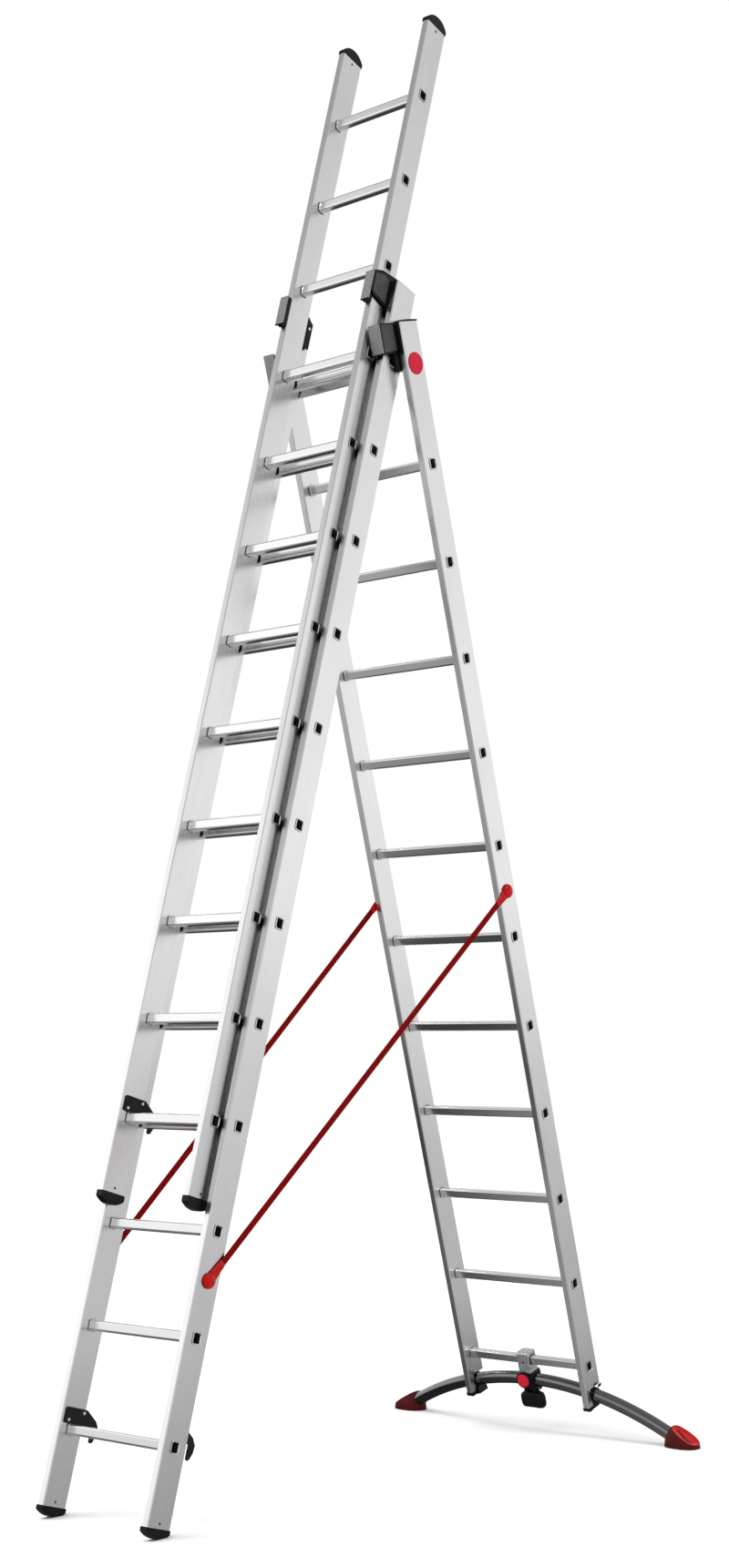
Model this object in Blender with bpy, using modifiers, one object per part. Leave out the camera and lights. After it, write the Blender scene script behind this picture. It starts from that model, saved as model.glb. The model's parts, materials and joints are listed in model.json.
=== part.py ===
"""Three-section aluminium ladder, standing as a stepladder with its front section raised.

World frame: +Z up, X along the rungs, the climbing side faces -Y, and Z = 0 is the floor.
Each section is drawn in its own frame: X along the rungs, Y towards the rear, Z up the
stiles, with the origin at the centre of that section's top rung. All lengths are metres.
"""
import math

import bmesh
import bpy
from mathutils import Matrix, Vector

# Stance of the open ladder
FLOOR_TO_TOP_RUNG = 3.1815
TOP_RUNG_Y = -0.0464
CLIMB_LEAN = math.radians(16.145)
REAR_LEAN = math.radians(16.519)
RAISED_RUNGS = 3

# Rungs and stiles
RUNG_COUNT = 12
RUNG_PITCH = 0.280
RUNG_DEPTH = 0.026
RUNG_HEIGHT = 0.028
RUNG_CORNER = 0.006
RUNG_WALL = 0.0015
RUNG_FLARE = 0.0018
RUNG_LIP = 0.0013
STILE_THICKNESS = 0.022
STILE_WALL = 0.0016

# Fits: between pieces that touch, round a turning pin, how far joined shapes are let in, how far
# a cutter runs past what it cuts, and the distance at which points are merged
GAP = 0.0003
RUNNING_GAP = 0.0001
LET_IN = 0.0005
CUT_MARGIN = 0.0100
WELD = 0.00001

# Outer width over the stiles, stile depth, and stile ends above and below the top rung
FRONT = {"width": 0.3460, "depth": 0.0820, "top": 0.2280, "bottom": -3.2875}
MIDDLE = {"width": 0.4150, "depth": 0.0830, "top": 0.2340, "bottom": -3.2845}
REAR = {"width": 0.4875, "depth": 0.0810, "top": 0.1160, "bottom": -3.2200}

# Where the sections sit on each other
FRONT_OFFSET = 0.0552
REAR_OFFSET = 0.0552

# Pivot of the rear section, from the middle section's top rung
HINGE_BACK = 0.0258
HINGE_UP = 0.0134
PIVOT_RADIUS = 0.0080
PIVOT_REACH = 0.0150

# Hooks: a slot that drops over a rung of the section behind
HOOK_THICKNESS = 0.0040
HOOK_ABOVE_RUNG = 0.0580
HOOK_BELOW_RUNG = 0.0260
HOOK_FRONT = -0.0300
HOOK_TOP_BACK = -0.0120
HOOK_NOSE = 0.0240
HOOK_SLACK = 0.0012
HOOK_EASE = 0.0040

# Feet of the middle section
FOOT_PROUD = 0.0015
FOOT_BLOCK = 0.0400
FOOT_PLUG = 0.0350
SOLE_RADIUS = 0.0600
SOLE_CENTRE_RISE = 0.0335

# Guide brackets at the top of the middle section. The corners of the cheek are given back from
# its lip and up from the top rung, along its lower edge and along its upper edge.
GUIDE_CLEARANCE = 0.0025
GUIDE_PLATE = 0.0045
GUIDE_REACH = 0.0156
GUIDE_BACK = 0.0310
GUIDE_BACK_Z = (0.1440, 0.2240)
GUIDE_CHIN = ((0.0, 0.1800), (0.0100, 0.1630), (0.0680, 0.1530), (0.0800, 0.1440))
GUIDE_CROWN = ((0.0950, 0.2580), (0.0330, 0.2500), (0.0, 0.2325))
GUIDE_LIP = 0.0264
GUIDE_LIP_Z = (0.1400, 0.2320)
GUIDE_PAD_Z = (0.1500, 0.2200)
GUIDE_PAD_HALF_DEPTH = 0.0290
SHEET = 0.0030

# Hinge brackets at the top of the rear section, from its top rung
BRACKET_CLEARANCE = 0.0030
BRACKET_REACH = 0.1050
BRACKET_BOTTOM = 0.0340
BRACKET_TOP = 0.1180
BRACKET_BACK = 0.0380
BRACKET_LIP = 0.0050

# Stabiliser across the rear feet
BAR_ARC_RADIUS = 1.020
BAR_RADIUS = 0.021
BAR_WALL = 0.0020
BAR_DROP = 0.0717
BAR_BACK = 0.0070
BAR_HALF_SPAN = 0.520
BAR_SIDES = 12
BAR_STEPS = 24
PIN_SIDES = 16
SOLE_SIDES = 40
NOTCH_TOP = -3.1530
NOTCH_FRONT = -0.0155
SHOE_CENTRE_X = 0.5420
SHOE_HALF_SIZE = (0.0550, 0.0420, 0.0720)

# Clamp that holds the stabiliser, and its pedal
CLAMP_CLEARANCE = 0.0012
CLAMP_JOINT_RISE = 0.0090
CASTING_HALF_WIDTH = 0.0240
CASTING_RADIUS = 0.0240
SHELL_HALF_WIDTH = 0.0260
SHELL_BELOW_BAR = 0.0190
SHELL_HALF_DEPTH = 0.0290
SHELL_EASE = 0.0060
LUG_SLOT = (0.0155, 0.0142)
LUG_PIN_RISE = 0.0075
PEDAL_LOW = (-0.0450, -0.0240, -0.0630)
PEDAL_HIGH = (0.0450, 0.0060, -0.0100)
PEDAL_ROUNDING = 0.0060
PEDAL_NECK = (0.0145, 0.0060, 0.0150)
PEDAL_BARREL_RADIUS = 0.0062
PEDAL_PIN = (0.0030, 0.0240)

# Straps that stop the ladder spreading
STRAP_WIDTH = 0.020
STRAP_THICKNESS = 0.0016
STRAP_ON_MIDDLE = -2.650
STRAP_ON_REAR = -1.540
STRAP_STANDOFF = 0.0030

SIDES = {"left": -1, "right": 1}
BOTTOM_RUNG_Z = -(RUNG_COUNT - 1) * RUNG_PITCH


# ---------------------------------------------------------------- scene helpers
def clear_scene():
    for obj in list(bpy.data.objects):
        bpy.data.objects.remove(obj, do_unlink=True)


def make_collection(name):
    collection = bpy.data.collections.new(name)
    bpy.context.scene.collection.children.link(collection)
    return collection


def make_material(name, colour, roughness, metallic):
    material = bpy.data.materials.new(name)
    material.use_nodes = True
    shader = material.node_tree.nodes["Principled BSDF"]
    shader.inputs["Base Color"].default_value = (*colour, 1.0)
    shader.inputs["Roughness"].default_value = roughness
    shader.inputs["Metallic"].default_value = metallic
    return material


def make_empty(name, parent, location, lean=0.0):
    empty = bpy.data.objects.new(name, None)
    PARTS.objects.link(empty)
    empty.parent = parent
    empty.location = location
    empty.rotation_euler = (lean, 0.0, 0.0)
    return empty


def add_object(name, mesh, parent, material, location=(0.0, 0.0, 0.0)):
    """A named piece of the ladder."""
    obj = bpy.data.objects.new(name, mesh)
    PARTS.objects.link(obj)
    obj.parent = parent
    obj.location = location
    if material is not None and not mesh.materials:
        mesh.materials.append(material)
    return obj


def add_tool(name, mesh, parent, location=(0.0, 0.0, 0.0)):
    """A shape that only cuts or joins, and is not a piece of the ladder."""
    obj = bpy.data.objects.new(name, mesh)
    TOOLS.objects.link(obj)
    obj.parent = parent
    obj.location = location
    obj.hide_render = True
    obj.display_type = "WIRE"
    return obj


def boolean(target, tool, operation="DIFFERENCE"):
    modifier = target.modifiers.new(tool.name, "BOOLEAN")
    modifier.operation = operation
    modifier.solver = "EXACT"
    modifier.object = tool


# ---------------------------------------------------------------- mesh helpers
def mesh_from(bm, name):
    mesh = bpy.data.meshes.new(name)
    bm.to_mesh(mesh)
    bm.free()
    return mesh


def closed_mesh_from(bm, name):
    bmesh.ops.recalc_face_normals(bm, faces=bm.faces)
    return mesh_from(bm, name)


def tube_mesh_from(bm, name, bore):
    """An open tube, its faces turned away from a point of its centre line near X = 0."""
    bmesh.ops.recalc_face_normals(bm, faces=bm.faces)
    face = min(bm.faces, key=lambda item: abs(item.calc_center_median().x))
    if face.normal.dot(face.calc_center_median() - Vector(bore)) < 0:
        bmesh.ops.reverse_faces(bm, faces=bm.faces)
    return mesh_from(bm, name)


def box_mesh(name, low, high):
    """A box between two corners."""
    low, high = Vector(low), Vector(high)
    bm = bmesh.new()
    bmesh.ops.create_cube(bm, size=1.0)
    bmesh.ops.scale(bm, vec=high - low, verts=bm.verts)
    bmesh.ops.translate(bm, vec=(low + high) / 2, verts=bm.verts)
    return closed_mesh_from(bm, name)


def cross_cylinder_mesh(name, radius, x_low, x_high, centre_y, centre_z, segments=24):
    """A solid cylinder along X."""
    bm = bmesh.new()
    bmesh.ops.create_cone(
        bm, cap_ends=True, segments=segments, radius1=radius, radius2=radius,
        depth=x_high - x_low, matrix=Matrix.Rotation(math.pi / 2, 4, "Y"),
    )
    bmesh.ops.translate(bm, vec=((x_low + x_high) / 2, centre_y, centre_z), verts=bm.verts)
    return closed_mesh_from(bm, name)


def add_chamfered_prism(bm, half_length, depth, height, corner, centre_z=0.0):
    """A rod along X whose cross-section is a rectangle with its corners taken off."""
    cube = bmesh.ops.create_cube(bm, size=1.0)["verts"]
    bmesh.ops.scale(bm, vec=(2 * half_length, depth, height), verts=cube)
    bmesh.ops.translate(bm, vec=(0.0, 0.0, centre_z), verts=cube)
    edges = {edge for vert in cube for edge in vert.link_edges}
    long_edges = [e for e in edges if abs(e.verts[0].co.x - e.verts[1].co.x) > half_length]
    bmesh.ops.bevel(bm, geom=long_edges, offset=corner, segments=1, affect="EDGES")


def plate_mesh(name, outline, x_low, x_high):
    """A flat plate square to X, from its outline of (y, z) points."""
    curve = bpy.data.curves.new(name, "CURVE")
    curve.dimensions = "2D"
    curve.fill_mode = "BOTH"
    curve.extrude = (x_high - x_low) / 2
    spline = curve.splines.new("POLY")
    spline.points.add(len(outline) - 1)
    for point, (y, z) in zip(spline.points, outline):
        point.co = (y, z, 0.0, 1.0)
    spline.use_cyclic_u = True
    holder = bpy.data.objects.new(name, curve)
    TOOLS.objects.link(holder)
    depsgraph = bpy.context.evaluated_depsgraph_get()
    mesh = bpy.data.meshes.new_from_object(holder.evaluated_get(depsgraph))
    bpy.data.objects.remove(holder)
    stand_up = Matrix(((0, 0, 1, (x_low + x_high) / 2), (1, 0, 0, 0), (0, 1, 0, 0), (0, 0, 0, 1)))
    bm = bmesh.new()
    bm.from_mesh(mesh)
    bmesh.ops.remove_doubles(bm, verts=bm.verts, dist=WELD)
    bmesh.ops.transform(bm, matrix=stand_up, verts=bm.verts)
    bpy.data.meshes.remove(mesh)
    return closed_mesh_from(bm, name)


def mirror_range(side, low, high):
    """The X range between two distances from the middle, on the given side."""
    return tuple(sorted((side * low, side * high)))


def arc_points(centre, radius, start, end, count):
    """Points (y, z) along an arc, its angles in degrees from +Y towards +Z."""
    angles = [math.radians(start + (end - start) * i / (count - 1)) for i in range(count)]
    return [(centre[0] + radius * math.cos(t), centre[1] + radius * math.sin(t)) for t in angles]


# ---------------------------------------------------------------- stiles and rungs
def rung_height(number):
    """Height of a rung in its section's frame, counted from 1 at the bottom."""
    return (number - RUNG_COUNT) * RUNG_PITCH


def make_rung_cutter(label, section, parent, origin):
    """Twelve rods across the section, a little larger than its rungs."""
    bm = bmesh.new()
    for number in range(1, RUNG_COUNT + 1):
        add_chamfered_prism(
            bm, section["width"] / 2 + CUT_MARGIN, RUNG_DEPTH + 2 * GAP, RUNG_HEIGHT + 2 * GAP,
            RUNG_CORNER, rung_height(number),
        )
    return add_tool(f"{label}_rung_holes", closed_mesh_from(bm, f"{label}_rung_holes"), parent, origin)


def make_stile(label, section, side_name, parent, origin):
    """A box-section stile, open at both ends."""
    side = SIDES[side_name]
    outer, inner = section["width"] / 2, section["width"] / 2 - STILE_THICKNESS
    half_depth = section["depth"] / 2
    name = f"{label}_stile_{side_name}"
    x_low, x_high = mirror_range(side, inner, outer)
    stile = add_object(
        name,
        box_mesh(name, (x_low, -half_depth, section["bottom"]), (x_high, half_depth, section["top"])),
        parent, ALUMINIUM, origin,
    )
    x_low, x_high = mirror_range(side, inner + STILE_WALL, outer - STILE_WALL)
    hollow_depth = half_depth - STILE_WALL
    bore = add_tool(
        f"{name}_bore",
        box_mesh(
            f"{name}_bore",
            (x_low, -hollow_depth, section["bottom"] - CUT_MARGIN),
            (x_high, hollow_depth, section["top"] + CUT_MARGIN),
        ),
        parent, origin,
    )
    boolean(stile, bore)
    return stile


def make_rung_mesh(label, section):
    """A hollow rung with both ends flared over the stiles' outer faces."""
    half = section["width"] / 2 + GAP
    bm = bmesh.new()
    add_chamfered_prism(bm, half, RUNG_DEPTH, RUNG_HEIGHT, RUNG_CORNER)
    ends = [face for face in bm.faces if abs(face.normal.x) > 0.9]
    bmesh.ops.delete(bm, geom=ends, context="FACES_ONLY")
    rim = [edge for edge in bm.edges if edge.is_boundary]
    lip = bmesh.ops.extrude_edge_only(bm, edges=rim)["geom"]
    grown = ((RUNG_DEPTH + 2 * RUNG_FLARE) / RUNG_DEPTH, (RUNG_HEIGHT + 2 * RUNG_FLARE) / RUNG_HEIGHT)
    for vert in (item for item in lip if isinstance(item, bmesh.types.BMVert)):
        vert.co.x += math.copysign(RUNG_LIP, vert.co.x)
        vert.co.y *= grown[0]
        vert.co.z *= grown[1]
    mesh = tube_mesh_from(bm, f"{label}_rung", (0.0, 0.0, 0.0))
    mesh.materials.append(ALUMINIUM)
    return mesh


def make_rung(name, mesh, parent, location):
    rung = add_object(name, mesh, parent, None, location)
    wall = rung.modifiers.new("wall", "SOLIDIFY")
    wall.thickness = RUNG_WALL
    wall.offset = -1.0
    wall.use_even_offset = True


def make_section(label, section, parent, origin):
    """Two stiles and twelve rungs. Returns the stiles for further cuts."""
    origin = Vector(origin)
    cutter = make_rung_cutter(label, section, parent, origin)
    stiles = [make_stile(label, section, side_name, parent, origin) for side_name in SIDES]
    for stile in stiles:
        boolean(stile, cutter)
    mesh = make_rung_mesh(label, section)
    for number in range(1, RUNG_COUNT + 1):
        place = origin + Vector((0.0, 0.0, rung_height(number)))
        make_rung(f"{label}_rung_{number:02d}", mesh, parent, place)
    return stiles


# ---------------------------------------------------------------- hooks
def make_hook(label, section, side_name, parent, reach):
    """A plate inside the stile that hooks over a rung of the section behind."""
    side = SIDES[side_name]
    inner = section["width"] / 2 - STILE_THICKNESS - GAP
    slot_top = BOTTOM_RUNG_Z + RUNG_HEIGHT / 2 + HOOK_SLACK
    top = BOTTOM_RUNG_Z + HOOK_ABOVE_RUNG
    tip = BOTTOM_RUNG_Z - HOOK_BELOW_RUNG
    slot_front = reach - RUNG_DEPTH / 2 - HOOK_SLACK
    slot_rear = reach + RUNG_DEPTH / 2 + HOOK_SLACK
    outline = [
        (HOOK_FRONT, slot_top + LET_IN),
        (slot_front, slot_top + LET_IN),
        (slot_front + HOOK_EASE, slot_top),
        (slot_rear, slot_top),
        (slot_rear, tip + HOOK_EASE),
        (slot_rear + HOOK_EASE, tip),
        (slot_rear + HOOK_NOSE / 2, tip + HOOK_EASE / 2),
        (slot_rear + HOOK_NOSE - HOOK_EASE / 2, BOTTOM_RUNG_Z - HOOK_EASE),
        (slot_rear + HOOK_NOSE, slot_top),
        (slot_rear + HOOK_NOSE / 2, slot_top + 4.5 * HOOK_EASE),
        (reach + HOOK_TOP_BACK, top),
        (HOOK_FRONT + HOOK_EASE, top),
        (HOOK_FRONT, top - HOOK_EASE),
    ]
    name = f"{label}_hook_{side_name}"
    mesh = plate_mesh(name, outline, *mirror_range(side, inner - HOOK_THICKNESS, inner))
    add_object(name, mesh, parent, BLACK_STEEL)


# ---------------------------------------------------------------- middle section
def make_foot(side_name, parent):
    """A rubber foot plugged into a middle stile, its round sole worn flat on the floor."""
    side = SIDES[side_name]
    outer, inner = MIDDLE["width"] / 2, MIDDLE["width"] / 2 - STILE_THICKNESS
    half_depth = MIDDLE["depth"] / 2
    stile_end = MIDDLE["bottom"]
    name = f"middle_foot_{side_name}"
    x_low, x_high = mirror_range(side, inner - FOOT_PROUD, outer + FOOT_PROUD)
    low = (x_low, -half_depth - FOOT_PROUD, stile_end - FOOT_BLOCK)
    high = (x_high, half_depth + FOOT_PROUD, stile_end - GAP)
    foot = add_object(name, box_mesh(name, low, high), parent, BLACK_RUBBER)
    sole_mesh = cross_cylinder_mesh(
        f"{name}_sole", SOLE_RADIUS, x_low - CUT_MARGIN, x_high + CUT_MARGIN,
        0.0, stile_end + SOLE_CENTRE_RISE, SOLE_SIDES,
    )
    boolean(foot, add_tool(f"{name}_sole", sole_mesh, parent), "INTERSECT")
    x_low, x_high = mirror_range(side, inner + STILE_WALL + GAP, outer - STILE_WALL - GAP)
    plug_depth = half_depth - STILE_WALL - GAP
    low = (x_low, -plug_depth, stile_end - CUT_MARGIN)
    high = (x_high, plug_depth, stile_end + FOOT_PLUG)
    boolean(foot, add_tool(f"{name}_plug", box_mesh(f"{name}_plug", low, high), parent), "UNION")
    boolean(foot, FLOOR)


def make_guide(side_name, parent):
    """The bracket on top of a middle stile that keeps the front section's stile in place."""
    side = SIDES[side_name]
    cheek_inner = FRONT["width"] / 2 + GUIDE_CLEARANCE
    cheek_outer = cheek_inner + GUIDE_PLATE
    stile_inner = MIDDLE["width"] / 2 - STILE_THICKNESS - GAP
    flange_y = -FRONT_OFFSET - FRONT["depth"] / 2 - GUIDE_REACH
    lip_bottom, lip_top = GUIDE_LIP_Z
    pad_bottom, pad_top = GUIDE_PAD_Z
    name = f"upper_guide_{side_name}"
    outline = [(flange_y + back, height) for back, height in GUIDE_CHIN]
    outline += [(GUIDE_BACK, height) for height in GUIDE_BACK_Z]
    outline += [(flange_y + back, height) for back, height in GUIDE_CROWN]
    mesh = plate_mesh(name, outline, *mirror_range(side, cheek_inner, cheek_outer))
    guide = add_object(name, mesh, parent, ZINC)
    face = cheek_outer - LET_IN
    blocks = {
        "flange": (
            (cheek_inner - GUIDE_LIP, flange_y - SHEET, lip_bottom),
            (face, flange_y + LET_IN, lip_top),
        ),
        "pad": (
            (face, -GUIDE_PAD_HALF_DEPTH, pad_bottom),
            (stile_inner, GUIDE_PAD_HALF_DEPTH, pad_top),
        ),
    }
    for label, ((near, y_low, z_low), (far, y_high, z_high)) in blocks.items():
        x_low, x_high = mirror_range(side, near, far)
        mesh = box_mesh(f"{name}_{label}", (x_low, y_low, z_low), (x_high, y_high, z_high))
        boolean(guide, add_tool(f"{name}_{label}", mesh, parent), "UNION")


def make_strap(side_name, middle_frame, rear_frame, rear_origin):
    """A webbing strap from a middle stile to a rear stile, drawn in world axes."""
    side = SIDES[side_name]
    bpy.context.view_layer.update()
    start = middle_frame.matrix_world @ Vector(
        (side * (MIDDLE["width"] / 2 + STRAP_STANDOFF), 0.0, STRAP_ON_MIDDLE))
    end = rear_frame.matrix_world @ (Vector(rear_origin) + Vector(
        (side * (REAR["width"] / 2 + STRAP_STANDOFF), 0.0, STRAP_ON_REAR)))
    along = (end - start).normalized()
    across = along.cross(Vector((1.0, 0.0, 0.0))).normalized()
    facing = across.cross(along)
    frame = Matrix((facing, across, along)).transposed().to_4x4()
    frame.translation = (start + end) / 2
    half = Vector((STRAP_THICKNESS, STRAP_WIDTH, (end - start).length)) / 2
    name = f"strap_{side_name}"
    mesh = box_mesh(name, -half, half)
    mesh.transform(frame)
    add_object(name, mesh, None, RED_WEBBING)


# ---------------------------------------------------------------- rear section
def make_hinge_bracket(side_name, parent, rung_at):
    """The bracket on top of a rear stile, with the pivot that the middle section turns on."""
    side = SIDES[side_name]
    cheek_inner = MIDDLE["width"] / 2 + BRACKET_CLEARANCE
    cheek_outer = REAR["width"] / 2 - STILE_THICKNESS - GAP
    flange_y = rung_at[1] - BRACKET_REACH
    rear_y = rung_at[1] + BRACKET_BACK
    bottom, top = rung_at[2] + BRACKET_BOTTOM, rung_at[2] + BRACKET_TOP
    lobe_radius = 2.5 * PIVOT_RADIUS
    name = f"hinge_bracket_{side_name}"
    outline = [
        (flange_y, bottom),
        (-0.3 * BRACKET_REACH, bottom),
        *arc_points((-1.25 * PIVOT_RADIUS, -PIVOT_RADIUS), lobe_radius, 180, 320, 9),
        (1.5 * PIVOT_RADIUS, -0.5 * PIVOT_RADIUS),
        (1.5 * PIVOT_RADIUS, bottom + 0.5 * PIVOT_RADIUS),
        (rear_y, bottom + 0.5 * PIVOT_RADIUS),
        (rear_y, top),
        (flange_y, top),
    ]
    mesh = plate_mesh(name, outline, *mirror_range(side, cheek_inner, cheek_outer))
    bracket = add_object(name, mesh, parent, ZINC)
    lip_inner = MIDDLE["width"] / 2 - STILE_THICKNESS - BRACKET_LIP
    x_low, x_high = mirror_range(side, lip_inner, cheek_outer - LET_IN)
    low = (x_low, flange_y - SHEET, bottom + LET_IN)
    high = (x_high, flange_y + LET_IN, top - LET_IN)
    boolean(bracket, add_tool(f"{name}_flange", box_mesh(f"{name}_flange", low, high), parent), "UNION")
    x_low, x_high = mirror_range(side, MIDDLE["width"] / 2 - PIVOT_REACH, cheek_inner + LET_IN)
    mesh = cross_cylinder_mesh(f"{name}_pivot", PIVOT_RADIUS, x_low, x_high, 0.0, 0.0)
    boolean(bracket, add_tool(f"{name}_pivot", mesh, parent), "UNION")


def bar_arc_mesh(name, radius, half_span, solid):
    """The stabiliser's arc, its origin at the arc's centre of curvature."""
    turn = Matrix.Rotation(math.pi / 2, 4, "Y")
    bm = bmesh.new()
    bmesh.ops.create_circle(bm, cap_ends=False, segments=BAR_SIDES, radius=radius, matrix=turn)
    sweep = 2 * math.asin(half_span / BAR_ARC_RADIUS)
    bmesh.ops.translate(bm, vec=(0.0, 0.0, BAR_ARC_RADIUS), verts=bm.verts)
    start = Matrix.Rotation(-sweep / 2, 3, "Y")
    bmesh.ops.rotate(bm, cent=(0.0, 0.0, 0.0), matrix=start, verts=bm.verts)
    bmesh.ops.spin(
        bm, geom=bm.verts[:] + bm.edges[:], cent=(0.0, 0.0, 0.0), axis=(0.0, 1.0, 0.0),
        angle=sweep, steps=BAR_STEPS, use_duplicate=False,
    )
    bmesh.ops.remove_doubles(bm, verts=bm.verts, dist=WELD)
    if not solid:
        return tube_mesh_from(bm, name, (0.0, 0.0, BAR_ARC_RADIUS))
    bmesh.ops.holes_fill(bm, edges=[edge for edge in bm.edges if edge.is_boundary])
    return closed_mesh_from(bm, name)


def make_bar(parent):
    """The bent tube that spreads the rear feet."""
    mesh = bar_arc_mesh("stabiliser_bar", BAR_RADIUS, BAR_HALF_SPAN, solid=False)
    bar = add_object("stabiliser_bar", mesh, parent, DARK_ALUMINIUM)
    wall = bar.modifiers.new("wall", "SOLIDIFY")
    wall.thickness = BAR_WALL
    wall.offset = -1.0


def make_shoe(side_name, parent, bar_space):
    """A moulded shoe on one end of the stabiliser, flat on the floor."""
    side = SIDES[side_name]
    name = f"stabiliser_shoe_{side_name}"
    bm = bmesh.new()
    bmesh.ops.create_uvsphere(bm, u_segments=16, v_segments=12, radius=1.0)
    bmesh.ops.scale(bm, vec=SHOE_HALF_SIZE, verts=bm.verts)
    shoe = add_object(name, closed_mesh_from(bm, name), parent, RED_PLASTIC)
    bpy.context.view_layer.update()
    centre_rise = math.sqrt(BAR_ARC_RADIUS ** 2 - SHOE_CENTRE_X ** 2)
    on_bar = parent.matrix_world @ Vector((side * SHOE_CENTRE_X, 0.0, centre_rise))
    on_floor = Matrix.Translation((on_bar.x, on_bar.y, 0.0))
    shoe.matrix_local = parent.matrix_world.inverted() @ on_floor
    boolean(shoe, FLOOR)
    boolean(shoe, bar_space)


def make_clamp(parent, rung_at, bar_space):
    """The casting on the bottom rung and the moulded clamp that grips the stabiliser.

    Returns the place of the pedal's pin, as (y, z) in the parent's frame.
    """
    rung_z = rung_at[2] + BOTTOM_RUNG_Z
    bar_y, bar_z = rung_at[1] + BAR_BACK, rung_z - BAR_DROP
    joint_z = bar_z + BAR_RADIUS + CLAMP_JOINT_RISE
    rung_space = bmesh.new()
    add_chamfered_prism(
        rung_space, 2 * CASTING_HALF_WIDTH, RUNG_DEPTH + 2 * GAP, RUNG_HEIGHT + 2 * GAP, RUNG_CORNER,
    )
    rung_space = closed_mesh_from(rung_space, "casting_rung_space")
    cutter = add_tool("casting_rung_space", rung_space, parent, (0.0, rung_at[1], rung_z))
    outline = [
        (bar_y - CASTING_RADIUS - 4 * LET_IN, joint_z),
        (bar_y + CASTING_RADIUS - 8 * LET_IN, joint_z),
        *arc_points((rung_at[1], rung_z), CASTING_RADIUS, 0, 180, 9),
    ]
    mesh = plate_mesh("clamp_casting", outline, -CASTING_HALF_WIDTH, CASTING_HALF_WIDTH)
    casting = add_object("clamp_casting", mesh, parent, CAST_GREY)
    boolean(casting, cutter)

    shell_bottom = bar_z - BAR_RADIUS - SHELL_BELOW_BAR
    waist = SHELL_HALF_DEPTH - 4 * LET_IN
    outline = [
        (bar_y - waist, joint_z - GAP),
        (bar_y - SHELL_HALF_DEPTH, shell_bottom + SHELL_EASE),
        (bar_y - SHELL_HALF_DEPTH + SHELL_EASE, shell_bottom),
        (bar_y + SHELL_HALF_DEPTH - SHELL_EASE, shell_bottom),
        (bar_y + SHELL_HALF_DEPTH, shell_bottom + SHELL_EASE),
        (bar_y + waist, joint_z - GAP),
    ]
    mesh = plate_mesh("clamp_shell", outline, -SHELL_HALF_WIDTH, SHELL_HALF_WIDTH)
    shell = add_object("clamp_shell", mesh, parent, BLACK_PLASTIC)
    boolean(shell, bar_space)
    slot_half_width, slot_height = LUG_SLOT
    low = (-slot_half_width, bar_y - 2 * SHELL_HALF_DEPTH, shell_bottom - slot_height)
    high = (slot_half_width, bar_y + 2 * SHELL_HALF_DEPTH, shell_bottom + slot_height)
    boolean(shell, add_tool("clamp_shell_slot", box_mesh("clamp_shell_slot", low, high), parent))
    return bar_y, shell_bottom + LUG_PIN_RISE


def make_pedal(parent):
    """The foot lever, turning on its own stubs between the lugs of the clamp shell."""
    pedal = add_object("pedal", box_mesh("pedal", PEDAL_LOW, PEDAL_HIGH), parent, BLACK_RUBBER)
    rounding = pedal.modifiers.new("rounding", "BEVEL")
    rounding.width = PEDAL_ROUNDING
    rounding.segments = 2
    rounding.limit_method = "ANGLE"
    half_width, half_depth, drop = PEDAL_NECK
    neck = box_mesh("pedal_neck", (-half_width, -half_depth, -drop), (half_width, half_depth, 0.0))
    boolean(pedal, add_tool("pedal_neck", neck, parent), "UNION")
    barrel = cross_cylinder_mesh(
        "pedal_barrel", PEDAL_BARREL_RADIUS, -half_width, half_width, 0.0, 0.0, PIN_SIDES,
    )
    boolean(pedal, add_tool("pedal_barrel", barrel, parent), "UNION")
    pin_radius, pin_reach = PEDAL_PIN
    pins = cross_cylinder_mesh("pedal_pins", pin_radius, -pin_reach, pin_reach, 0.0, 0.0, PIN_SIDES)
    boolean(pedal, add_tool("pedal_pins", pins, parent), "UNION")


# ---------------------------------------------------------------- assembly
clear_scene()
PARTS = make_collection("extension_ladder")
TOOLS = make_collection("cutters")

ALUMINIUM = make_material("aluminium", (0.74, 0.75, 0.76), 0.38, 1.0)
DARK_ALUMINIUM = make_material("dark_aluminium", (0.30, 0.31, 0.33), 0.30, 1.0)
ZINC = make_material("zinc_steel", (0.36, 0.36, 0.37), 0.45, 0.8)
CAST_GREY = make_material("cast_grey", (0.42, 0.43, 0.44), 0.50, 0.6)
BLACK_STEEL = make_material("black_steel", (0.03, 0.03, 0.03), 0.40, 0.0)
BLACK_PLASTIC = make_material("black_plastic", (0.02, 0.02, 0.02), 0.45, 0.0)
BLACK_RUBBER = make_material("black_rubber", (0.025, 0.025, 0.025), 0.70, 0.0)
RED_PLASTIC = make_material("red_plastic", (0.62, 0.02, 0.02), 0.35, 0.0)
RED_WEBBING = make_material("red_webbing", (0.30, 0.01, 0.01), 0.80, 0.0)

FLOOR = add_tool("floor", box_mesh("floor", (-2.0, -2.0, -0.5), (2.0, 2.0, 0.0)), None)

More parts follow.
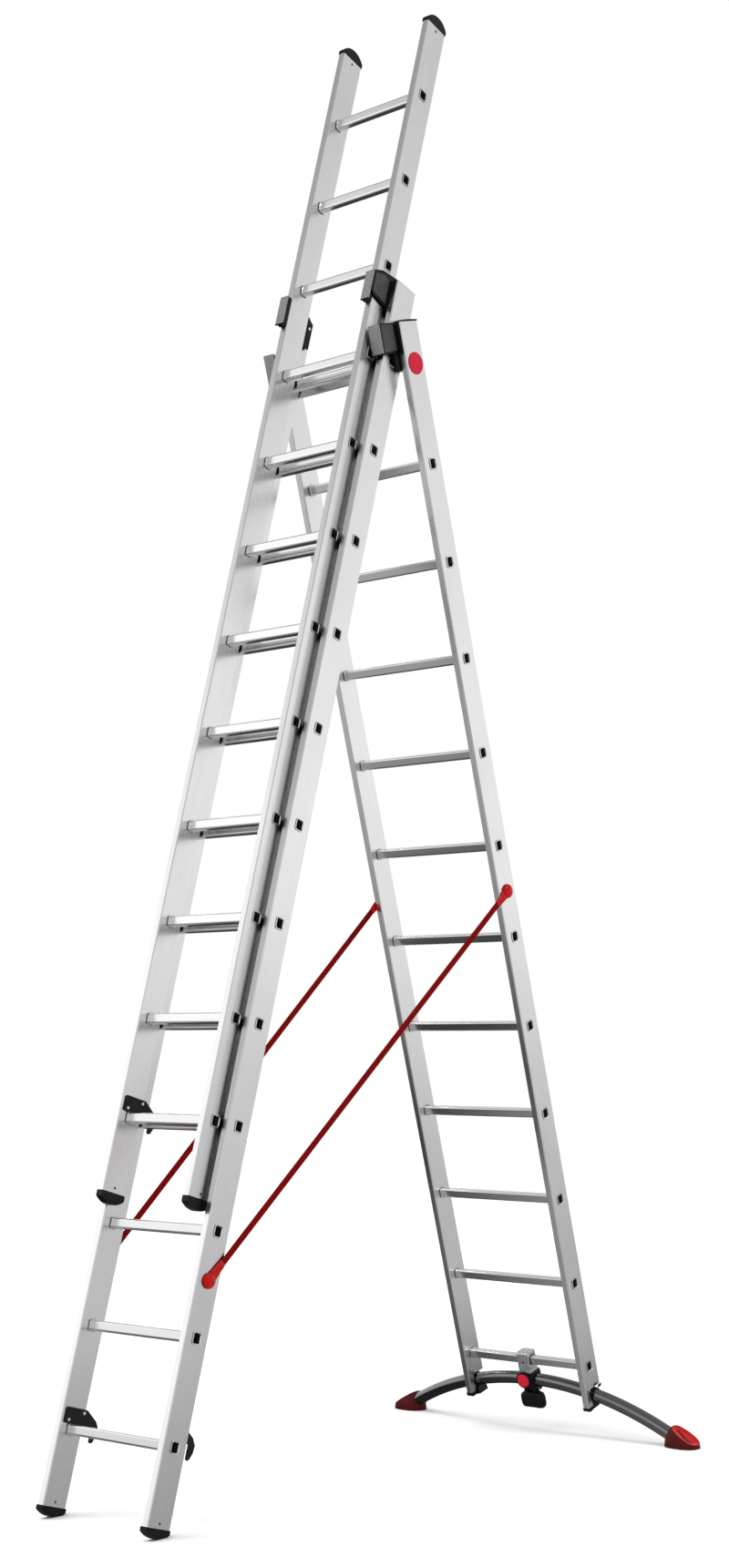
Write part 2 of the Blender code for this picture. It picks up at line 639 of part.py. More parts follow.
middle = make_empty("middle_frame", None, (0.0, TOP_RUNG_Y, FLOOR_TO_TOP_RUNG), -CLIMB_LEAN)
front = make_empty("front_slide", middle, (0.0, -FRONT_OFFSET, RAISED_RUNGS * RUNG_PITCH))
rear = make_empty("rear_hinge", middle, (0.0, HINGE_BACK, HINGE_UP), CLIMB_LEAN + REAR_LEAN)
REAR_TOP_RUNG = (0.0, REAR_OFFSET - HINGE_BACK, -HINGE_UP)
bar_centre = make_empty(
    "stabiliser_centre", rear,
    (0.0, REAR_TOP_RUNG[1] + BAR_BACK, REAR_TOP_RUNG[2] + BOTTOM_RUNG_Z - BAR_DROP - BAR_ARC_RADIUS),
)

make_section("front", FRONT, front, (0.0, 0.0, 0.0))
middle_stiles = make_section("middle", MIDDLE, middle, (0.0, 0.0, 0.0))
rear_stiles = make_section("rear", REAR, rear, REAR_TOP_RUNG)

reach = MIDDLE["width"] / 2 + CUT_MARGIN
pivot_mesh = cross_cylinder_mesh(
    "pivot_bore", PIVOT_RADIUS + RUNNING_GAP, -reach, reach, HINGE_BACK, HINGE_UP,
)
pivot_bore = add_tool("pivot_bore", pivot_mesh, middle)
for stile in middle_stiles:
    boolean(stile, pivot_bore)

notch_mesh = box_mesh(
    "bar_notch",
    (-REAR["width"], NOTCH_FRONT, REAR["bottom"] - CUT_MARGIN),
    (REAR["width"], REAR["depth"], NOTCH_TOP),
)
notch = add_tool("bar_notch", notch_mesh, rear, REAR_TOP_RUNG)
for stile in rear_stiles:
    boolean(stile, notch)

make_bar(bar_centre)
shoe_space_mesh = bar_arc_mesh("shoe_bar_space", BAR_RADIUS + GAP, BAR_HALF_SPAN + GAP, solid=True)
shoe_space = add_tool("shoe_bar_space", shoe_space_mesh, bar_centre)
clamp_space_mesh = bar_arc_mesh(
    "clamp_bar_space", BAR_RADIUS + CLAMP_CLEARANCE, 4 * SHELL_HALF_WIDTH, solid=True,
)
clamp_space = add_tool("clamp_bar_space", clamp_space_mesh, bar_centre)
pin_y, pin_z = make_clamp(rear, REAR_TOP_RUNG, clamp_space)
pedal_pivot = make_empty("pedal_pivot", rear, (0.0, pin_y, pin_z))
lug_mesh = cross_cylinder_mesh(
    "lug_bore", PEDAL_PIN[0] + RUNNING_GAP, -SHELL_HALF_WIDTH - CUT_MARGIN,
    SHELL_HALF_WIDTH + CUT_MARGIN, 0.0, 0.0, PIN_SIDES,
)
boolean(PARTS.objects["clamp_shell"], add_tool("lug_bore", lug_mesh, pedal_pivot))
make_pedal(pedal_pivot)

for side_name in SIDES:
    make_hook("front", FRONT, side_name, front, FRONT_OFFSET)
    make_hook("middle", MIDDLE, side_name, middle, REAR_OFFSET)
    make_foot(side_name, middle)
    make_guide(side_name, middle)
    make_hinge_bracket(side_name, rear, REAR_TOP_RUNG)
    make_shoe(side_name, bar_centre, shoe_space)
    make_strap(side_name, middle, rear, REAR_TOP_RUNG)
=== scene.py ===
"""Looks of the extension ladder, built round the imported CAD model.

Each section of the ladder has its own frame here, as it has in the CAD: X along the rungs, Y
towards the rear, Z up the stiles, with the origin at the centre of the section's top rung.
"""
import json
import math

import bmesh
import bpy
from mathutils import Matrix, Vector


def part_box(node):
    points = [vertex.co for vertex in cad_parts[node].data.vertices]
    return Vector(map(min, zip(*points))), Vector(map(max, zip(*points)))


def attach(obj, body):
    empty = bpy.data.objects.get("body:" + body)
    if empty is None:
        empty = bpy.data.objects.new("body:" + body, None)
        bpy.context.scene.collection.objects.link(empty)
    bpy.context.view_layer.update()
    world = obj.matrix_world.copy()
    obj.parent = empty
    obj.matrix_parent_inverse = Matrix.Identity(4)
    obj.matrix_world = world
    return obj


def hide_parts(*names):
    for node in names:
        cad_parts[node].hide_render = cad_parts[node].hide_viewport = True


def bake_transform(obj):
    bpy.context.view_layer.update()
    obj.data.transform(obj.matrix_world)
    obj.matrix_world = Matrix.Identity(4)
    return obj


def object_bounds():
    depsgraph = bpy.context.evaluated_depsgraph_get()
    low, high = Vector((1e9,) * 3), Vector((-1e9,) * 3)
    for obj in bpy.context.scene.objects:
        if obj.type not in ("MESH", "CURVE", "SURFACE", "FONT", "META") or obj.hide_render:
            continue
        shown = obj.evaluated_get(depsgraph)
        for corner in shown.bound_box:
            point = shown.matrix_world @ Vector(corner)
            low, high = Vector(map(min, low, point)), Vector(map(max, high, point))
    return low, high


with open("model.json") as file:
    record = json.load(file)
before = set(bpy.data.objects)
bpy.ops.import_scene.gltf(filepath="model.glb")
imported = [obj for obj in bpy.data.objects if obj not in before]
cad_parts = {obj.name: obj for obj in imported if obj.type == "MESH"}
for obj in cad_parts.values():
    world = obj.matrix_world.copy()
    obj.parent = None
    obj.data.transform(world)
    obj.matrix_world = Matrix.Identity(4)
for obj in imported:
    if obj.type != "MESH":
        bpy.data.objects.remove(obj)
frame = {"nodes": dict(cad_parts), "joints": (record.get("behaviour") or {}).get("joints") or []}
CAD_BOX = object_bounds()

# Camera, fitted to the rungs of all three sections
CAMERA_PLACE = (4.0840, -4.7125, 1.2439)
CAMERA_TURN = (89.7875, -0.0578, 40.4409)
CAMERA_LENS = 49.097
CAMERA_SHIFT = (0.0, 0.1715)

# Sections
RUNG_COUNT = 12
RUNG_PITCH = 0.280
STILE_THICKNESS = 0.0220
STILE_WALL = 0.0016
STILE_CORNER = 0.0026
PIVOT_BORE_RADIUS = 0.0081
SIDES = {"left": -1, "right": 1}

# Rungs
RUNG_DEPTH = 0.0260
RUNG_HEIGHT = 0.0280
RUNG_CORNER = 0.0050
RUNG_WALL = 0.0015
RUNG_WAIST = 0.0045
RUNG_RIB_HEIGHT = 0.0002
RUNG_RIB_PITCH = 0.0040
RUNG_TAPER = 0.28
RUNG_FIT = 0.0003

# End caps: how far they stand proud of the stile, their plugs, and their rivets
CAP_PROUD = 0.0010
CAP_FIT = 0.0002
CAP_PLUG = 0.0300
CAP_STEPS = 20
CAP_RIVET_OFFSET = 0.0130
RIVET_RADIUS = 0.0036
RIVET_RISE = 0.0014
FOOT_PROUD = 0.0015
TREAD_DEPTH = 0.0012
FLOOR_GAP = 0.0002
TIP_PROUD = 0.0008
TIP_EASE = 0.0060

# Hook plates' rivets: (depth, height above the bottom rung), and how far in from the stile
HOOK_RIVETS = ((-0.0170, 0.0245), (0.0330, 0.0480))
HOOK_RIVET_INSET = 0.0043
HOOK_RIVET_RADIUS = 0.0048
HOOK_RIVET_RISE = 0.0020

# Guide and hinge brackets. Outlines are (distance behind the flange, height) points
FRONT_OFFSET = 0.0552
GUIDE_CLEARANCE = 0.0025
GUIDE_PLATE = 0.0045
GUIDE_REACH = 0.0156
GUIDE_BACK = 0.0310
GUIDE_BACK_Z = (0.1440, 0.2240)
GUIDE_CHIN = ((0.0, 0.1800), (0.0100, 0.1630), (0.0680, 0.1530), (0.0800, 0.1440))
GUIDE_CROWN = ((0.0950, 0.2580), (0.0330, 0.2500), (0.0, 0.2325))
GUIDE_PANEL = (
    (0.0090, 0.1720), (0.0660, 0.1610), (0.0660, 0.2330), (0.0410, 0.2410), (0.0090, 0.2280),
)
GUIDE_LIP = 0.0264
GUIDE_LIP_Z = (0.1400, 0.2320)
GUIDE_PAD_Y = (-0.0290, 0.0290)
GUIDE_PAD_Z = (0.1500, 0.2200)
# The strip in front of the middle stile: its height, and its reach past the stile's inner face
GUIDE_STRIP = ((0.1450, 0.0012), (0.1750, 0.0080), (0.2050, 0.0170), (0.2340, 0.0200))
GUIDE_RIVET = (0.0200, 0.2070)
GUIDE_RIVET_RADIUS = 0.0046
SLIDE_GAP = 0.0012
BRACKET_REACH = 0.1050
BRACKET_BOTTOM = 0.0340
BRACKET_TOP = 0.1180
BRACKET_BACK = 0.0380
BRACKET_CLEARANCE = 0.0030
BRACKET_LIP = 0.0050
BRACKET_LOBE = 0.0200
BOSS_RADIUS = 0.0080
BOSS_LENGTH = 0.0185
SHEET = 0.0030
SILL = 0.0035
PANEL_PROUD = 0.0008
LAP = 0.0005
GAP = 0.0003
BRACKET_EDGE = 0.0007

# Straps
STRAP_WIDTH = 0.0200
STRAP_THICKNESS = 0.0016
STRAP_STEPS = 60
STRAP_ON_MIDDLE = -2.650
STRAP_ON_REAR = -1.540
STRAP_STANDOFF = 0.0030
# The moulded neck on each knob: distance along the strap, half width, half thickness
STRAP_NECK = (
    (0.0, 0.0150, 0.0019), (0.0200, 0.0146, 0.0019), (0.0400, 0.0126, 0.0017), (0.0600, 0.0112, 0.0014),
    (0.0660, 0.0106, 0.0010),
)
# Turned shapes, as (radius, height) points
STRAP_KNOB = (
    (0.0, 0.0002), (0.0195, 0.0002), (0.0210, 0.0014), (0.0210, 0.0042), (0.0200, 0.0062),
    (0.0176, 0.0088), (0.0140, 0.0108), (0.0095, 0.0121), (0.0048, 0.0128), (0.0, 0.0130),
)
BADGE = (
    (0.0, 0.0004), (0.0310, 0.0004), (0.0310, 0.0016), (0.0302, 0.0026), (0.0286, 0.0028),
    (0.0276, 0.0020), (0.0180, 0.0024), (0.0, 0.0026),
)

# Stabiliser
BAR_ARC_RADIUS = 1.020
BAR_RADIUS = 0.0210
BAR_WALL = 0.0020
BAR_END = 0.5080
BAR_STEPS = 96
SHOE_CENTRE_X = 0.5420
SHOE_HALF_SIZE = (0.0550, 0.0420, 0.0720)
SHOE_SQUARENESS = 2.6
SHOE_FACE_TILT = (0.52, 0.85)
SHOE_FACE_HEIGHT = 0.0450
# The rim and the dish of a shoe's face, as steps inwards and their depth
SHOE_FACE_STEPS = ((0.0030, 0.0), (0.0016, -0.0016), (0.0040, -0.0016), (0.0080, -0.0010))
NOTCH_TOP = -3.1530
NOTCH_FRONT = -0.0155
# The liner's ring, then its blocks: where they start across the stile, and their low and high
# edges in depth and in height from the bar's centre
LINER_RADIUS = 0.0238
LINER_INNER, LINER_OUTER = 0.0022, 0.0018
LINER_BLOCKS = (
    (0.0222, 0.0085, 0.0280, 0.0225, 0.0330),
    (0.0222, -0.0270, -0.0222, -0.0180, 0.0220),
    (-0.0010, -0.0190, 0.0260, -0.0470, -0.0225),
)

# Clamp: the saddle's outline is (depth, height above the rung), and the shell's rings are
# (share of its height, half width, half depth, corner)
CLAMP_JOINT = 0.0090
SADDLE_HALF_WIDTH = 0.0220
SADDLE_CROWN = ((0.0225, 0.0230), (0.0180, 0.0300), (-0.0180, 0.0300), (-0.0235, 0.0240))
SADDLE_FRONT = -0.0235
SADDLE_BACK = 0.0225
SADDLE_BOLT_DROP = 0.0060
SADDLE_BOLT_HOLE = 0.0046
BOLT_HEAD = ((0.0, -0.0070), (0.0038, -0.0070), (0.0038, -0.0022), (0.0026, -0.0016), (0.0, -0.0016))
SHELL_BELOW_BAR = 0.0190
SHELL_RINGS = (
    (0.0, 0.0215, 0.0225, 0.008), (0.06, 0.0235, 0.0245, 0.009), (0.35, 0.0250, 0.0270, 0.012),
    (0.70, 0.0258, 0.0280, 0.012), (0.93, 0.0252, 0.0270, 0.010), (1.0, 0.0235, 0.0250, 0.008),
)
PEDAL_SLOT_HALF_WIDTH = 0.0155
PEDAL_SLOT_HEIGHT = 0.0142
DISC_PLACE = (-0.0060, -0.0230, 0.0070)
DISC_RIM = (
    (0.0, 0.0), (0.0262, 0.0), (0.0280, 0.0040), (0.0280, 0.0130), (0.0266, 0.0150), (0.0236, 0.0156),
    (0.0226, 0.0146), (0.0, 0.0142),
)
DISC_FACE = (
    (0.0, 0.0130), (0.0222, 0.0130), (0.0222, 0.0154), (0.0200, 0.0166), (0.0110, 0.0180), (0.0, 0.0185),
)

# Pedal: its pad's rings are (height, half width, front, back, corner) from its pin
PEDAL_RINGS = (
    (0.0040, 0.0145, -0.0055, 0.0055, 0.0050), (-0.0070, 0.0145, -0.0065, 0.0055, 0.0055),
    (-0.0100, 0.0240, -0.0180, 0.0050, 0.0070), (-0.0140, 0.0380, -0.0225, 0.0058, 0.0090),
    (-0.0210, 0.0430, -0.0238, 0.0060, 0.0110), (-0.0320, 0.0450, -0.0240, 0.0060, 0.0120),
    (-0.0480, 0.0446, -0.0238, 0.0060, 0.0120), (-0.0570, 0.0420, -0.0225, 0.0050, 0.0110),
    (-0.0610, 0.0385, -0.0200, 0.0030, 0.0090), (-0.0628, 0.0330, -0.0160, 0.0, 0.0070),
)
PEDAL_RIB_COUNT = 6
PEDAL_RIB_TOP = -0.0270
PEDAL_RIB_PITCH = 0.0055
PEDAL_RIB_HALF_SIZE = (0.0320, 0.0014)
PEDAL_RIB_Y = (-0.0250, -0.0225)
BARREL_RADIUS, BARREL_LENGTH = 0.0062, 0.0290
PIN_RADIUS, PIN_LENGTH = 0.0029, 0.0480

# Painted shade: where surfaces lie this close together, metal's base colour is darkened to this share of
# itself, as shade in corners and slots. The range is the open share of the surroundings over which the
# painted shade goes from darkest to unchanged
CORNER_SHADE_REACH = 0.020
CORNER_SHADE_DARKNESS = 0.07
CORNER_SHADE_RANGE = (0.42, 0.66)
DULL = {"Specular_IOR_Level": 0.18}

# Studio, as polished metal sees it. The ramps hold (place, brightness) points. The room's places
# are the sine of the height of the direction, its brightness is a share of the peak, and the
# camera's side is darker
ROOM_PEAK = 1.25
ROOM_RIGHT = ((0.0, 0.54), (0.05, 0.84), (0.17, 0.84), (0.34, 0.56), (0.50, 0.44))
ROOM_LEFT = ((0.0, 0.72), (0.30, 1.0), (0.45, 0.96), (0.60, 0.48), (0.67, 0.30), (0.80, 0.24))
ROOM_SIDES = (-0.9, 0.9)
ROOM_DARK = 0.72
ROOM_DARK_RANGE = (0.85, 1.34)
FLOOR_RANGE = (-14.0, 4.0)
FLOOR_RIGHT = (
    (0.07, 0.50), (0.46, 0.35), (0.62, 0.04), (0.69, 0.04), (0.71, 0.36), (0.85, 0.44), (1.0, 0.58),
)
FLOOR_LEFT = ((0.07, 0.50), (0.46, 0.35), (0.62, 0.03), (0.78, 0.05), (0.90, 0.10), (1.0, 0.48))
FLOOR_SIDES = (0.2, 1.2)
FLOOR_RADIUS = 30.0
FLOOR_DROP = 0.001


# ---------------------------------------------------------------- sections of the ladder
class Section:
    """One section's frame, and its sizes as the CAD has them."""

    def __init__(self, label, lean):
        self.label = label
        low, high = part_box(f"{label}_rung_{RUNG_COUNT}")
        self.matrix = Matrix.Translation((low + high) / 2) @ Matrix.Rotation(lean, 4, "X")
        low, high = self.local_box(f"{label}_stile_right")
        self.inner = low.x
        self.outer = high.x
        self.half_depth = high.y
        self.bottom = low.z
        self.top = high.z

    def local_box(self, node):
        """Lowest and highest corner of a CAD node in this section's frame."""
        inverse = self.matrix.inverted()
        points = [inverse @ vert.co for vert in frame["nodes"][node].data.vertices]
        low = Vector(min(point[i] for point in points) for i in range(3))
        high = Vector(max(point[i] for point in points) for i in range(3))
        return low, high

    def rung_height(self, number):
        return (number - RUNG_COUNT) * RUNG_PITCH


joints = {joint["name"]: joint for joint in frame["joints"]}
climb_axis = joints["front_extension"]["axis"]
rear_axis = joints["stabiliser_levelling"]["axis"]
climb_lean = math.atan2(climb_axis[1], climb_axis[2])
rear_lean = math.atan2(rear_axis[2], rear_axis[1])
FRONT = Section("front", -climb_lean)
MIDDLE = Section("middle", -climb_lean)
REAR = Section("rear", rear_lean)
HINGE_PIVOT = Vector(joints["rear_fold"]["pos_m"])
BAR_PIVOT = Vector(joints["stabiliser_levelling"]["pos_m"])


# ---------------------------------------------------------------- materials
def rgb(colour):
    """Three numbers, from three numbers or from one for a grey."""
    return (colour,) * 3 if isinstance(colour, float) else colour


def shader_material(name, colour, roughness, metallic=0.0, **inputs):
    """A Principled material, with its node tree and its shader."""
    material = bpy.data.materials.new(name)
    material.use_nodes = True
    tree = material.node_tree
    shader = tree.nodes["Principled BSDF"]
    shader.inputs["Base Color"].default_value = (*rgb(colour), 1.0)
    shader.inputs["Roughness"].default_value = roughness
    shader.inputs["Metallic"].default_value = metallic
    for socket, value in inputs.items():
        shader.inputs[socket.replace("_", " ")].default_value = value
    return material, tree, shader


def noise(tree, scale, stretch=(1.0, 1.0, 1.0), detail=2.0):
    """Noise in object coordinates, stretched along the axes where stretch is small."""
    coordinates = tree.nodes.new("ShaderNodeTexCoord")
    mapping = tree.nodes.new("ShaderNodeMapping")
    mapping.inputs["Scale"].default_value = stretch
    texture = tree.nodes.new("ShaderNodeTexNoise")
    texture.inputs["Scale"].default_value = scale
    texture.inputs["Detail"].default_value = detail
    tree.links.new(coordinates.outputs["Object"], mapping.inputs["Vector"])
    tree.links.new(mapping.outputs["Vector"], texture.inputs["Vector"])
    return texture.outputs["Fac"]


def map_range(tree, source, low, high, from_low=0.3, from_high=0.7):
    node = tree.nodes.new("ShaderNodeMapRange")
    node.inputs["From Min"].default_value = from_low
    node.inputs["From Max"].default_value = from_high
    node.inputs["To Min"].default_value = low
    node.inputs["To Max"].default_value = high
    tree.links.new(source, node.inputs["Value"])
    return node.outputs["Result"]


def tint(tree, shader, source, dark, light):
    """Base colour between two colours, by a value from 0 to 1."""
    ramp = tree.nodes.new("ShaderNodeValToRGB")
    for element, colour, position in zip(ramp.color_ramp.elements, (dark, light), (0.3, 0.7)):
        element.color = (*rgb(colour), 1.0)
        element.position = position
    tree.links.new(source, ramp.inputs["Fac"])
    tree.links.new(ramp.outputs["Color"], shader.inputs["Base Color"])


def bump(tree, shader, source, distance):
    node = tree.nodes.new("ShaderNodeBump")
    node.inputs["Distance"].default_value = distance
    tree.links.new(source, node.inputs["Height"])
    tree.links.new(node.outputs["Normal"], shader.inputs["Normal"])


def paint_corner_shade(tree, shader):
    """Painted shade: darkens the base colour where another surface is close, as in the slot between
    stiles.
    """
    colour = shader.inputs["Base Color"].links[0].from_socket
    closeness = tree.nodes.new("ShaderNodeAmbientOcclusion")
    closeness.samples = 6
    closeness.inputs["Distance"].default_value = CORNER_SHADE_REACH
    shade = map_range(tree, closeness.outputs["AO"], CORNER_SHADE_DARKNESS, 1.0, *CORNER_SHADE_RANGE)
    scale = tree.nodes.new("ShaderNodeVectorMath")
    scale.operation = "SCALE"
    tree.links.new(colour, scale.inputs[0])
    tree.links.new(shade, scale.inputs["Scale"])
    tree.links.new(scale.outputs["Vector"], shader.inputs["Base Color"])


def drawn_aluminium(name, stretch, base=0.83, rough=0.25, line_depth=0.00002):
    """Extruded aluminium, with fine die lines along the axis where stretch is small, and painted shade
    where surfaces are close.
    """
    material, tree, shader = shader_material(name, base, rough, 1.0)
    lines = noise(tree, 900.0, stretch, 3.0)
    clouds = noise(tree, 3.0, detail=4.0)
    tree.links.new(map_range(tree, lines, rough - 0.05, rough + 0.06), shader.inputs["Roughness"])
    dark, light = base * 0.96, base * 1.03
    tint(tree, shader, clouds, (dark, dark * 0.995, dark * 1.01), (light, light * 0.997, light * 1.008))
    # painted shade in corners and in the slot between stiles
    paint_corner_shade(tree, shader)
    bump(tree, shader, lines, line_depth)
    return material


def moulded(name, dark, light, rough, grain=0.00012, grain_scale=1400.0, **inputs):
    """Moulded plastic or rubber: fine grain, and a little variation in tone."""
    material, tree, shader = shader_material(name, light, rough, 0.0, **inputs)
    tint(tree, shader, noise(tree, 35.0, detail=5.0), dark, light)
    bump(tree, shader, noise(tree, grain_scale), grain)
    return material


def plated(name, dark, light, rough, metallic):
    """Zinc-plated or cast metal, with a mottled surface."""
    material, tree, shader = shader_material(name, light, rough, metallic)
    spangle = noise(tree, 120.0, detail=4.0)
    tint(tree, shader, spangle, dark, light)
    tree.links.new(map_range(tree, spangle, rough - 0.08, rough + 0.10), shader.inputs["Roughness"])
    bump(tree, shader, noise(tree, 600.0, detail=4.0), 0.00015)
    return material


def webbing(name, dark, light):
    """Woven webbing: the band's own coordinates are metres along and across it."""
    material, tree, shader = shader_material(name, light, 0.70, Specular_IOR_Level=0.05)
    coordinates = tree.nodes.new("ShaderNodeTexCoord")
    waves = []
    for direction, scale in (("X", 150.0), ("Y", 240.0)):
        wave = tree.nodes.new("ShaderNodeTexWave")
        wave.wave_type = "BANDS"
        wave.bands_direction = direction
        wave.inputs["Scale"].default_value = scale
        wave.inputs["Distortion"].default_value = 0.5
        tree.links.new(coordinates.outputs["UV"], wave.inputs["Vector"])
        waves.append(wave.outputs["Fac"])
    weave = calculate(tree, "MULTIPLY", *waves)
    tint(tree, shader, weave, dark, light)
    bump(tree, shader, weave, 0.0005)
    return material


def link_or_set(tree, socket, value):
    if isinstance(value, (int, float)):
        socket.default_value = value
    else:
        tree.links.new(value, socket)


def calculate(tree, operation, first, second):
    node = tree.nodes.new("ShaderNodeMath")
    node.operation = operation
    link_or_set(tree, node.inputs[0], first)
    link_or_set(tree, node.inputs[1], second)
    return node.outputs["Value"]


STILE_METAL = drawn_aluminium("stile_aluminium", (1.0, 1.0, 0.004))
RUNG_METAL = drawn_aluminium("rung_aluminium", (0.004, 1.0, 1.0), 0.86, 0.22)
TUBE_METAL = drawn_aluminium("tube_aluminium", (0.01, 1.0, 1.0), 0.20, 0.17, 0.000004)
# The bore inside the tubes is painted near-black, as shade in the hollow
BORE_PAINTED_SHADE = plated("bore_painted_shade", (0.012, 0.012, 0.013), (0.030, 0.030, 0.032), 0.65, 0.4)
BRACKET_GREY = plated("bracket_grey", (0.22, 0.22, 0.225), (0.30, 0.30, 0.305), 0.42, 0.55)
CAST_METAL = plated("cast_metal", (0.46, 0.465, 0.47), (0.78, 0.79, 0.80), 0.34, 0.9)
RIVET_METAL = plated("rivet_metal", 0.70, 0.86, 0.25, 1.0)
DARK_RIVET = plated("dark_rivet", 0.05, 0.10, 0.40, 0.8)
BLACK_STEEL = moulded(
    "hook_steel", (0.006, 0.005, 0.006), (0.012, 0.011, 0.012), 0.42, 0.0001, 700.0, **DULL,
)
BLACK_PLASTIC = moulded("black_plastic", 0.002, 0.006, 0.38, **DULL)
PANEL_PLASTIC = moulded("panel_plastic", (0.050, 0.047, 0.047), (0.066, 0.062, 0.062), 0.50, **DULL)
GREY_PLASTIC = moulded("grey_plastic", 0.42, 0.50, 0.45)
# The shoe's body is the same red as its face, painted dark as shade
SHOE_SHADED_BODY = moulded(
    "shoe_body_painted_shade", (0.040, 0.001, 0.001), (0.075, 0.001, 0.001), 0.40, 0.00015, 900.0, **DULL,
)
PEDAL_RUBBER = moulded("pedal_rubber", 0.004, 0.009, 0.45, 0.0002, 900.0, **DULL)
RUBBER = moulded("foot_rubber", 0.003, 0.008, 0.62, 0.0002, 900.0, **DULL)
RED_PLASTIC = moulded("red_plastic", (0.40, 0.001, 0.001), (0.48, 0.002, 0.002), 0.20, 0.00003, **DULL)
BADGE_RED = moulded("badge_red", (0.50, 0.008, 0.025), (0.56, 0.011, 0.032), 0.28, 0.00002, **DULL)
STRAP_RED = webbing("strap_webbing", (0.17, 0.0005, 0.0005), (0.36, 0.001, 0.001))


# ---------------------------------------------------------------- mesh helpers
def add_piece(name, bm, materials, matrix, smooth=True):
    """A new object from a bmesh, in place, with its materials."""
    mesh = bpy.data.meshes.new(name)
    bmesh.ops.recalc_face_normals(bm, faces=bm.faces)
    bm.to_mesh(mesh)
    bm.free()
    for material in materials:
        mesh.materials.append(material)
    if smooth:
        mesh.shade_smooth()
    piece = bpy.data.objects.new(name, mesh)
    bpy.context.scene.collection.objects.link(piece)
    piece.matrix_world = matrix
    return piece


def round_edges(piece, width, segments=3, angle=30.0):
    modifier = piece.modifiers.new("round_edges", "BEVEL")
    modifier.width = width
    modifier.segments = segments
    modifier.limit_method = "ANGLE"
    modifier.angle_limit = math.radians(angle)
    modifier.harden_normals = True


def sharpen(piece, angle):
    piece.data.set_sharp_from_angle(angle=math.radians(angle))


def settle(piece, body, slot, *nodes):
    """Rides the piece on a body, and hides the nodes that it stands for. The slot, for its finish, is not
    used.
    """
    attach(piece, body)
    if nodes:
        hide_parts(*nodes)


def mirror_range(side, near, far):
    """Lowest and highest x of a span that is given on the right-hand side."""
    return tuple(sorted((side * near, side * far)))


def facing(side, x, y, z):
    """A place whose Z axis points along X, outwards where side is positive."""
    return Matrix.Translation((x, y, z)) @ Matrix.Rotation(side * math.pi / 2, 4, "Y")


def add_box(bm, low, high):
    low, high = Vector(low), Vector(high)
    verts = bmesh.ops.create_cube(bm, size=1.0)["verts"]
    bmesh.ops.scale(bm, vec=high - low, verts=verts)
    bmesh.ops.translate(bm, vec=(low + high) / 2, verts=verts)


def add_side_box(bm, side, x_span, y_span, z_span):
    """A box from its three spans, with X given on the right-hand side."""
    x_low, x_high = mirror_range(side, *x_span)
    add_box(bm, (x_low, y_span[0], z_span[0]), (x_high, y_span[1], z_span[1]))


def add_prism(bm, outline, x_low, x_high):
    """A plate square to X, from its outline of (y, z) points."""
    add_loft(bm, [[(x, y, z) for y, z in outline] for x in (x_low, x_high)])


def add_lathe(bm, profile, matrix, segments=32):
    """A turned shape round Z, from (radius, height) points, then moved by the matrix."""
    rings = []
    for radius, height in profile:
        if radius == 0:
            rings.append([bm.verts.new(matrix @ Vector((0.0, 0.0, height)))])
            continue
        ring = []
        for i in range(segments):
            angle = 2 * math.pi * i / segments
            place = Vector((radius * math.cos(angle), radius * math.sin(angle), height))
            ring.append(bm.verts.new(matrix @ place))
        rings.append(ring)
    for lower, upper in zip(rings, rings[1:]):
        for i in range(segments):
            j = (i + 1) % segments
            face = [lower[i % len(lower)], lower[j % len(lower)]]
            face += [upper[j % len(upper)], upper[i % len(upper)]]
            bm.faces.new(list(dict.fromkeys(face)))


def add_cylinder(bm, matrix, radius, low, high, segments=24):
    add_lathe(bm, [(0.0, low), (radius, low), (radius, high), (0.0, high)], matrix, segments)


def add_loft(bm, rings, closed=False):
    """Skins a list of rings with equal numbers of points, and caps the ends unless closed."""
    rows = [[bm.verts.new(point) for point in ring] for ring in rings]
    pairs = list(zip(rows, rows[1:]))
    if closed:
        pairs.append((rows[-1], rows[0]))
    count = len(rows[0])
    for lower, upper in pairs:
        for i in range(count):
            j = (i + 1) % count
            bm.faces.new((lower[i], lower[j], upper[j], upper[i]))
    if not closed:
        bm.faces.new(rows[0])
        bm.faces.new(reversed(rows[-1]))


def add_part(bm, index, builder, *values):
    """Adds a closed shape to the bmesh, all of it in the material with that index."""
    before = set(bm.faces)
    builder(bm, *values)
    for face in bm.faces:
        if face not in before:
            face.material_index = index


def arc_outline(centre, radius, start, stop, steps):
    """Points of an arc round a centre, angles in degrees."""
    points = []
    for step in range(steps + 1):
        angle = math.radians(start + (stop - start) * step / steps)
        points.append((centre[0] + radius * math.cos(angle), centre[1] + radius * math.sin(angle)))
    return points


def rounded_rectangle(half_width, half_height, corner, corner_steps=5, side_steps=1):
    """Points round a rectangle, anticlockwise from its lower right corner."""
    arcs = []
    for sx, sy, start in ((1, -1, -90), (1, 1, 0), (-1, 1, 90), (-1, -1, 180)):
        centre = (sx * (half_width - corner), sy * (half_height - corner))
        arcs.append(arc_outline(centre, corner, start, start + 90, corner_steps))
    ring = []
    for arc, following in zip(arcs, arcs[1:] + arcs[:1]):
        ring += arc
        for step in range(1, side_steps):
            t = step / side_steps
            ring.append(tuple(a + (b - a) * t for a, b in zip(arc[-1], following[0])))
    return ring


def circle(radius, count=40):
    angles = [2 * math.pi * i / count for i in range(count)]
    return [(radius * math.cos(a), radius * math.sin(a)) for a in angles]


def add_cutter(name, bm, matrix):
    return add_piece(name, bm, [], matrix, smooth=False)


